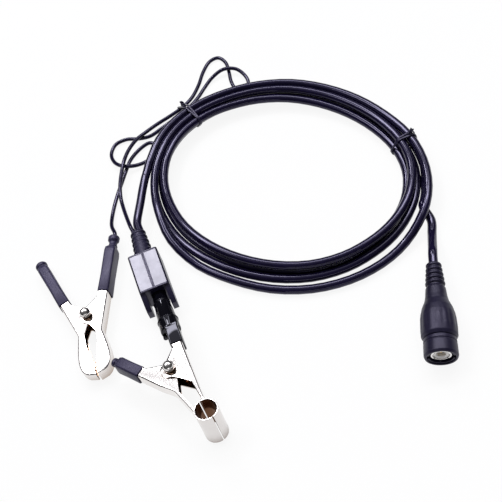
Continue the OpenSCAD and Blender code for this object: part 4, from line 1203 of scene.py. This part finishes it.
def half_lines(lean, handle, jaw_back, jaw_edge, waist=WAIST_X):
    """Matched points of a half's back and of its flanges' inner edge, from its handle's end to its tip."""
    handle_rows, shoulder_rows, jaw_step = 14, 33, 0.8
    slope = FLANGE_D / math.cos(math.radians(lean))
    straight = [Vector((back_x(lean, y, waist), y)) for y in (handle, BEND_START)]
    back = resampled(straight, 20) + resampled(catmull([straight[1], *jaw_back], 6), 70)[1:]
    rows = []
    for i in range(handle_rows + 1):
        y = mix(handle, HANDLE_START, i / handle_rows)
        b = at_height(back, y)
        rows.append((b, Vector((b.x - slope, y))))
    ear = arc(EAR_R, 100, 252, 14)
    shoulder = resampled(filleted([rows[-1][1], (0.5, 0.99 * EAR_R), *ear], 1.2), shoulder_rows + 1)
    low, tip = jaw_edge[0][1], jaw_edge[-1][1]
    for i, e in enumerate(shoulder[1:], 1):
        rows.append((at_height(back, mix(HANDLE_START, low + JAW_DROP, i / shoulder_rows)), e))
    jaw = []
    for a, b in zip(jaw_edge, jaw_edge[1:]):
        a, b = Vector(a), Vector(b)
        span = max(1, int((b - a).length / jaw_step))
        jaw += [a.lerp(b, k / span) for k in range(span)]
    for e in [*jaw, Vector(jaw_edge[-1])]:
        share = (low - e.y) / max(low - tip, 1e-9)
        rows.append((at_height(back, mix(low + JAW_DROP, back[-1].y, share)), e))
    return rows


def channel(rows, height, fold):
    """Folded sheet: a back strip with a flange along each side, as rows of points across it."""
    flange, bend, web = 4, 5, 4
    grid = []
    for b, e in rows:
        across = e - b
        depth = max(across.length, 0.05)
        inward = across / depth
        r = min(fold, 0.6 * depth)
        line = []
        for k in range(flange + 1):
            p = mix(e, b + inward * r, k / flange)
            line.append((p.x, p.y, -height / 2))
        for k in range(1, bend + 1):
            a = math.radians(90 * k / bend)
            p = b + inward * (r * (1 - math.sin(a)))
            line.append((p.x, p.y, -height / 2 + r * (1 - math.cos(a))))
        for k in range(1, web):
            line.append((b.x, b.y, mix(-height / 2 + r, height / 2 - r, k / web)))
        grid.append(line + [(x, y, -z) for x, y, z in reversed(line[:1 - web])])
    return skin(grid, around=False)


def sheet_half(name, node, rows, height, matrix, body):
    """One folded half of a clip; its faces point away from its hollow before it gets its thickness."""
    sizes = bpy.context.scene.probe_clips
    verts, faces = channel(rows, height, sizes.fold_r / MM)
    a, b, c = (Vector(verts[i]) for i in faces[6][:3])
    if (b - a).cross(c - a).x < 0:
        faces = [tuple(reversed(f)) for f in faces]
    piece(name, (verts, faces), matrix, "clip_nickel", body, (node,), bevel=sizes.edge_r / MM,
          solid=SHEET_T, sharp=32)


def rivet(name, node, matrix, foot):
    """Rivet with a round polished head, a shank and a flat foot."""
    top, r, sink, foot_r = CLIP_H / 2, BALL_D / 2, 0.5, 2.1
    centre = top + r - sink
    low = math.degrees(math.asin((top - centre) / r))
    shank = filleted([(0, -top - foot), (foot_r, -top - foot), (foot_r, -top), (PIN_D / 2, -top),
                      (PIN_D / 2, top)], 0.25)
    profile = [*shank, *arc(r, low, 90, 22, (0, centre))[:-1], (0.0, centre + r)]
    piece(name, spun(profile, 64), matrix, "clip_nickel", replaces=(node,), sharp=40)


def clip_springs(prefix, matrix, moving_body):
    """Torsion spring: its coils and fixed leg stay, and its other leg moves with the lever."""
    coils = turned(turned(shifted(matrix, 0, 0, SPRING_H / 2), 180, "X"), SPRING_LEAN, "Z")
    spiral_tree().grow(
        prefix + "_spring_coils", coils, "spring_steel", replaces=(prefix + "_spring",), Strands=1,
        Rotations=SPRING_SWEEP / 360, Radius=SPRING_R, Height=SPRING_H, Wire=SPRING_D / 2, Flatness=1.0)
    side, ahead = math.sin(math.radians(SPRING_LEAN)), math.cos(math.radians(SPRING_LEAN))
    for label, sign, body in (("fixed", 1, "root"), ("moving", -1, moving_body)):
        way = Vector((sign * side, ahead, 0))
        start = Vector((sign * SPRING_R * ahead, -SPRING_R * side, sign * SPRING_H / 2))
        end = start + way * SPRING_LEG
        hook = end - Vector((0, 0, sign * SPRING_HOOK))
        path = catmull([start - way * 0.3, start, mix(start, end, 0.5), end, mix(end, hook, 0.5), hook], 4)
        piece(f"{prefix}_spring_{label}_leg", wire(path, SPRING_D / 2, Vector((0.3, 0.2, 1))), matrix,
              "spring_steel", body, sharp=60)


# ---------- boots on the handles ----------
BOOT_LIP = 0.25
# Rings of a boot's open end from inside out: how far in along the handle, and inset in walls
BOOT_MOUTH = ((2.4, 1.04), (BOOT_LIP, 1.0), (0.06, 0.75), (0.0, 0.45), (0.05, 0.24))


def sheath(name, node, matrix, body, half, stations, knob):
    """Vinyl boot on a handle, open at its first station, with a round knob on its last.

    A station is (along, back inset, inner inset, side inset, corner), where the insets are from the
    plain boot round a handle of this half height.
    """
    boxes = [(along, -FLANGE_D - VINYL_T + inner, VINYL_T - back, half + VINYL_T - side, corner)
             for along, back, inner, side, corner in stations]
    start, x0, x1, high, corner = boxes[0]
    rows = []
    for along, walls in BOOT_MOUTH:
        inset = walls * VINYL_T
        ring = box_ring(x0 + inset, x1 - inset, -high + inset, high - inset, max(corner - inset, 0.25), 6)
        rows.append([(p.x, start + along, p.y) for p in ring])
    boxes[0] = (start + BOOT_LIP, x0, x1, high, corner)
    for along, x0, x1, high, corner in boxes:
        rows.append([(p.x, along, p.y) for p in box_ring(x0, x1, -high, high, corner, 6)])
    end = turned(Matrix.Translation((-FLANGE_D / 2, stations[-1][0], 0)), -90, "X")
    piece(name, joined(skin(rows, caps=True), moved(knob, end)), matrix, "clip_boot_vinyl", body, (node,),
          sharp=50)


class PROBE_OT_ground_clip(bpy.types.Operator):
    """Fold the ground clip's halves, rivet and spring them and slip on their boots"""

    bl_idname = "probe.ground_clip"
    bl_label = "Ground Clip"

    def execute(self, context):
        beak = bezier((WAIST_X, -WAIST_Y), (WAIST_X + 0.7, -WAIST_Y - 0.32 * (JAW_L - WAIST_Y)),
                      (WAIST_X + 5.2, -JAW_L + 0.6), (0.5, -JAW_L), 12)
        teeth = [(x - 0.1 * i, y - 1.5 * i) for i in range(5) for x, y in ((0.85, -20.9), (1.3, -21.7))]
        mouth = [(0.6, -4.9), (2.7, -9), (2.6, -14.6), (1.7, -20), *teeth, (0.5, -28.6)]
        rows = half_lines(GROUND_LEAN, GROUND_HANDLE, beak, mouth)
        sheet_half("ground_fixed_half", "ground_fixed_jaw", rows, CLIP_H, GROUND_CLIP, "root")
        sheet_half("ground_moving_half", "ground_moving_jaw", rows, INNER_H, GROUND_MIRROR, "ground_jaw")
        rivet("ground_rivet", "ground_pivot_rivet", GROUND_CLIP, GROUND_FOOT)
        clip_springs("ground", GROUND_CLIP, "ground_jaw")
        self.lead_boot()
        self.lever_boot()
        repaint({"ground_lead_lug": "lug_brass"})
        return {"FINISHED"}

    def lead_boot(self):
        """Square sleeve, round neck and flared collar where the lead goes in."""
        neck_l = 6.0
        start, end = GROUND_BOOT_START, GROUND_HANDLE_L + LEAD_BOOT_PAST - neck_l
        stations = [(start, 0, 0, 0, 0.9), (mix(start, end, 0.35), 0.1, 0.08, 0.1, 1.0),
                    (end - 3.2, 0, 0, 0, 1.0), (end - 1.4, 0.1, 0.1, 0.25, 1.2),
                    (end - 0.5, 0.5, 0.5, 1.0, 1.5), (end, 0.7, 0.7, 1.8, 1.5)]
        neck = spun(filleted([(0, 0), (2.3, 0), (1.85, 1.5), (1.9, 2.6), (2.62, 3.6), (2.66, 5.3),
                              (2.2, neck_l), (0, neck_l)], 0.35), 40)
        sheath("ground_lead_sleeve", "ground_lead_boot", handle_frame(GROUND_CLIP, GROUND_LEAN), "root",
               CLIP_H / 2, stations, neck)

    def lever_boot(self):
        """Sleeve with a rounded collar at its closed end."""
        collar_l = 2.4
        start, end = GROUND_BOOT_START, GROUND_HANDLE_L + LEVER_BOOT_PAST - collar_l
        stations = [(start, 0, 0, 0, 0.9), (mix(start, end, 0.4), 0.12, 0.1, 0.08, 1.1),
                    (end - 2.6, 0, 0, 0, 1.2), (end - 1.0, 0.2, 0.2, 0.2, 1.7), (end, 0.3, 0.3, 1.0, 2.0)]
        collar = spun(filleted([(0, -0.4), (2.35, -0.4), (2.45, 0.2), (2.75, 0.5), (2.75, 1.6),
                                (2.2, collar_l), (0, collar_l)], 0.4), 40)
        sheath("ground_lever_sleeve", "ground_lever_boot", handle_frame(GROUND_MIRROR, GROUND_LEAN),
               "ground_jaw", INNER_H / 2, stations, collar)


class PROBE_OT_pickup_clip(bpy.types.Operator):
    """Fold the pick-up clip's halves, add its split sleeve, rivet, spring and lever boot"""

    bl_idname = "probe.pickup_clip"
    bl_label = "Pick-up Clip"

    def execute(self, context):
        self.fixed_arm()
        self.lever()
        rivet("pickup_rivet", "pickup_pivot_rivet", PICKUP_CLIP, PICKUP_FOOT)
        clip_springs("pickup", PICKUP_CLIP, "pickup_jaw")
        gap = math.degrees(math.asin(SLIT_W / 2 / SLEEVE_OUT))
        self.sleeve("pickup_sleeve_fixed_half", "pickup_fixed_sleeve", -90 + gap, 90 - gap, "root")
        self.sleeve("pickup_sleeve_moving_half", "pickup_moving_sleeve", 90 + gap, 270 - gap, "pickup_jaw")
        self.boot()
        return {"FINISHED"}

    def fixed_arm(self):
        """Fixed half, straight from its handle to the sleeve that it holds."""
        half_grip = 2.0
        sleeve_y = -SLEEVE_REACH + math.sqrt(SLEEVE_OUT ** 2 - half_grip ** 2)
        mouth = [(0.3, -5.7), (back_x(STEM_LEAN, -11, ARM_WAIST_X) - 2.2, -11),
                 (back_x(STEM_LEAN, sleeve_y + 1, ARM_WAIST_X) - 0.9, sleeve_y + 0.4)]
        line = [(back_x(STEM_LEAN, y, ARM_WAIST_X), y) for y in (-9, -13, -17, sleeve_y + 0.3)]
        rows = half_lines(STEM_LEAN, PICKUP_HANDLE, line, mouth, ARM_WAIST_X)
        sheet_half("pickup_fixed_half", "pickup_fixed_arm", rows, CLIP_H, PICKUP_CLIP, "root")

    def lever(self):
        """Moving half, bent in beside the pivot."""
        line = [(4.75, -9), (4.55, -11.6), (4.35, -17), (4.25, -SLEEVE_REACH + 3.2)]
        mouth = [(0.3, -5.7), (3.1, -11), (3.0, -SLEEVE_REACH + 4.2)]
        rows = half_lines(LEVER_LEAN, LEVER_HANDLE, line, mouth)
        sheet_half("pickup_lever_half", "pickup_lever", rows, INNER_H, PICKUP_MIRROR, "pickup_jaw")

    def sleeve(self, name, node, start, stop, body):
        """Half of the split sleeve with rounded rims."""
        bottom, seam = SLEEVE_TOP - SLEEVE_L, SLEEVE_R + 0.3
        wall = filleted([(seam, bottom), (SLEEVE_OUT, bottom), (SLEEVE_OUT, SLEEVE_TOP),
                         (SLEEVE_R, SLEEVE_TOP), (SLEEVE_R, bottom), (seam, bottom)], 0.2)[:-1]
        rows = []
        for x, y in arc(1.0, start, stop, 40):
            rows.append([(r * x, r * y - SLEEVE_REACH, z) for r, z in wall])
        piece(name, skin(rows, caps=True), PICKUP_CLIP, "sleeve_nickel", body, (node,), bevel=0.06,
              sharp=40)

    def boot(self):
        """Sleeve over the lever's handle with a round nub at its end."""
        start, end = LEVER_BOOT_START, LEVER_HANDLE / math.cos(math.radians(LEVER_LEAN)) + 1.1
        stations = [(start, 0, 0, 0, 0.9), (mix(start, end, 0.5), 0.06, 0.06, 0.06, 1.0),
                    (end - 1.5, 0, 0, 0, 1.0), (end - 0.4, 0.25, 0.25, 0.25, 1.2),
                    (end, 0.8, 0.8, 0.8, 1.1)]
        nub = spun(filleted([(0, -0.3), (1.6, -0.3), (1.6, 1.0), (1.92, 1.3), (1.92, 2.5), (1.5, 2.85),
                             (0, 2.85)], 0.35), 32)
        sheath("pickup_lever_sleeve", "pickup_lever_boot", handle_frame(PICKUP_MIRROR, LEVER_LEAN),
               "pickup_jaw", INNER_H / 2, stations, nub)


# ---------- plug ----------
class PROBE_OT_plug(bpy.types.Operator):
    """Mould the plug's hood and grip ring and finish its metal and insulator"""

    bl_idname = "probe.plug"
    bl_label = "Plug"

    def execute(self, context):
        sizes = context.scene.probe_plug
        self.hood(sizes.flute_depth / MM, sizes.flute_count)
        self.tail_ribs(sizes.rib_count)
        self.grip_ring()
        repaint({"plug_body": "connector_nickel", "plug_insulator": "white_insulator",
                 "plug_centre_pin": "contact_gold", "plug_crimp_ferrule": "connector_nickel",
                 "plug_gasket": "gasket_rubber", "plug_bayonet_sleeve": "plug_vinyl",
                 "plug_thrust_washer": "connector_nickel", "plug_wave_spring": "spring_steel",
                 "coax_tail_plug": "cable_jacket"})
        return {"FINISHED"}

    def hood(self, depth, flutes):
        """Tail, shoulders and hood turned in one piece, with shallow flutes on the hood."""
        neck = GRIP_R - 0.45
        outer = [(2.02, 0), (2.5, 0), (2.75, 0.4), (3.55, TAIL_RIBS_L - 0.6), (4.15, TAIL_RIBS_L),
                 (4.5, 16), (5, 18.4), (6.3, 21.6), (HOOD_R - 0.5, 24.4), (HOOD_R - 0.2, 26.5),
                 (HOOD_R, 31), (HOOD_R - 0.15, RING_BACK - 1.6), (HOOD_R - 0.9, RING_BACK - 0.3),
                 (neck, RING_BACK - 0.3), (neck, RING_BACK - 6)]

        def fluted(r, z, a):
            band = smooth_step((z - FLUTE_START) / 4) * smooth_step((FLUTE_STOP - z) / 0.8)
            return r - depth * band * (0.5 + 0.5 * math.cos(flutes * a)) ** 1.5

        piece("plug_hood", spun(filleted(outer, 0.9, 5), 168, fluted), PLUG, "plug_vinyl",
              replaces=("plug_boot",))

    def tail_ribs(self, count):
        """Ribs round the tail, which widen towards the hood."""
        first_r, last_r = 3.12, 3.9
        rib_tree().grow(
            "plug_tail_ribs", shifted(PLUG, 0, 0, 1.1), "plug_vinyl", Count=count,
            Pitch=TAIL_RIBS_L / (count + 0.6), Drift=0.0, Radius=first_r - 0.3,
            Growth=(last_r / first_r - 1) / (count - 1), Oval=1.0, Rib_width=1.5, Rib_height=0.95)

    def grip_ring(self):
        """Turning ring in front of the hood, with a fine groove round it."""
        bore, groove = GRIP_R - 0.73, GRIP_R - 0.42
        outer = [(bore, RING_BACK), (GRIP_R - 0.25, RING_BACK), (GRIP_R - 0.15, RING_BACK + 1.5),
                 (groove, RING_BACK + 1.7), (groove, RING_BACK + 2), (GRIP_R - 0.1, RING_BACK + 2.2),
                 (GRIP_R, PLUG_L - 1), (GRIP_R - 0.4, PLUG_L), (bore - 0.42, PLUG_L),
                 (bore - 0.42, PLUG_L - 0.5), (bore, PLUG_L - 0.5), (bore, RING_BACK)]
        line = filleted(outer, 0.28)[:-1]
        piece("plug_grip", spun([*line, line[0]], 128), PLUG, "plug_vinyl", "plug_coupling",
              ("plug_grip_ring",))


class PROBE_OT_inner_parts(bpy.types.Operator):
    """Finish what sits inside the case"""

    bl_idname = "probe.inner_parts"
    bl_label = "Inner Parts"

    def execute(self, context):
        repaint({"circuit_board": "circuit_board", "series_capacitor": "ceramic",
                 "shunt_capacitor": "ceramic", "damping_resistor": "resistor",
                 "coax_tail_case": "cable_jacket", "ground_tail_case": "lead_jacket"})
        return {"FINISHED"}


# ---------- panel and registration ----------
OPERATORS = (PROBE_OT_stage, PROBE_OT_cables, PROBE_OT_ties, PROBE_OT_case, PROBE_OT_stem,
             PROBE_OT_pickup_clip, PROBE_OT_ground_clip, PROBE_OT_plug, PROBE_OT_inner_parts)
GROUP_TYPES = {"probe_cables": ProbeCableSettings, "probe_clips": ProbeClipSettings,
               "probe_case": ProbeCaseSettings, "probe_plug": ProbePlugSettings,
               "probe_stage": ProbeStageSettings}


class PROBE_PT_panel(bpy.types.Panel):
    """Settings and steps of the probe"""

    bl_label = "Pick-up Probe"
    bl_idname = "PROBE_PT_panel"
    bl_space_type = "VIEW_3D"
    bl_region_type = "UI"
    bl_category = "Probe"

    def draw(self, context):
        for key, kind in GROUP_TYPES.items():
            group = getattr(context.scene, key)
            box = self.layout.box()
            for name in kind.__annotations__:
                box.prop(group, name)
        for operator in OPERATORS:
            self.layout.operator(operator.bl_idname)


def register():
    """Registers the settings, the steps and the panel."""
    for kind in (*GROUP_TYPES.values(), *OPERATORS, PROBE_PT_panel):
        bpy.utils.register_class(kind)
    for key, kind in GROUP_TYPES.items():
        setattr(bpy.types.Scene, key, PointerProperty(type=kind))


def unregister():
    """Takes them away again."""
    for key in GROUP_TYPES:
        delattr(bpy.types.Scene, key)
    for kind in (PROBE_PT_panel, *reversed(OPERATORS), *reversed(GROUP_TYPES.values())):
        bpy.utils.unregister_class(kind)


def main():
    """Builds every piece."""
    register()
    for operator in OPERATORS:
        group, name = operator.bl_idname.split(".")
        getattr(getattr(bpy.ops, group), name)()


if __name__ == "__main__":
    main()
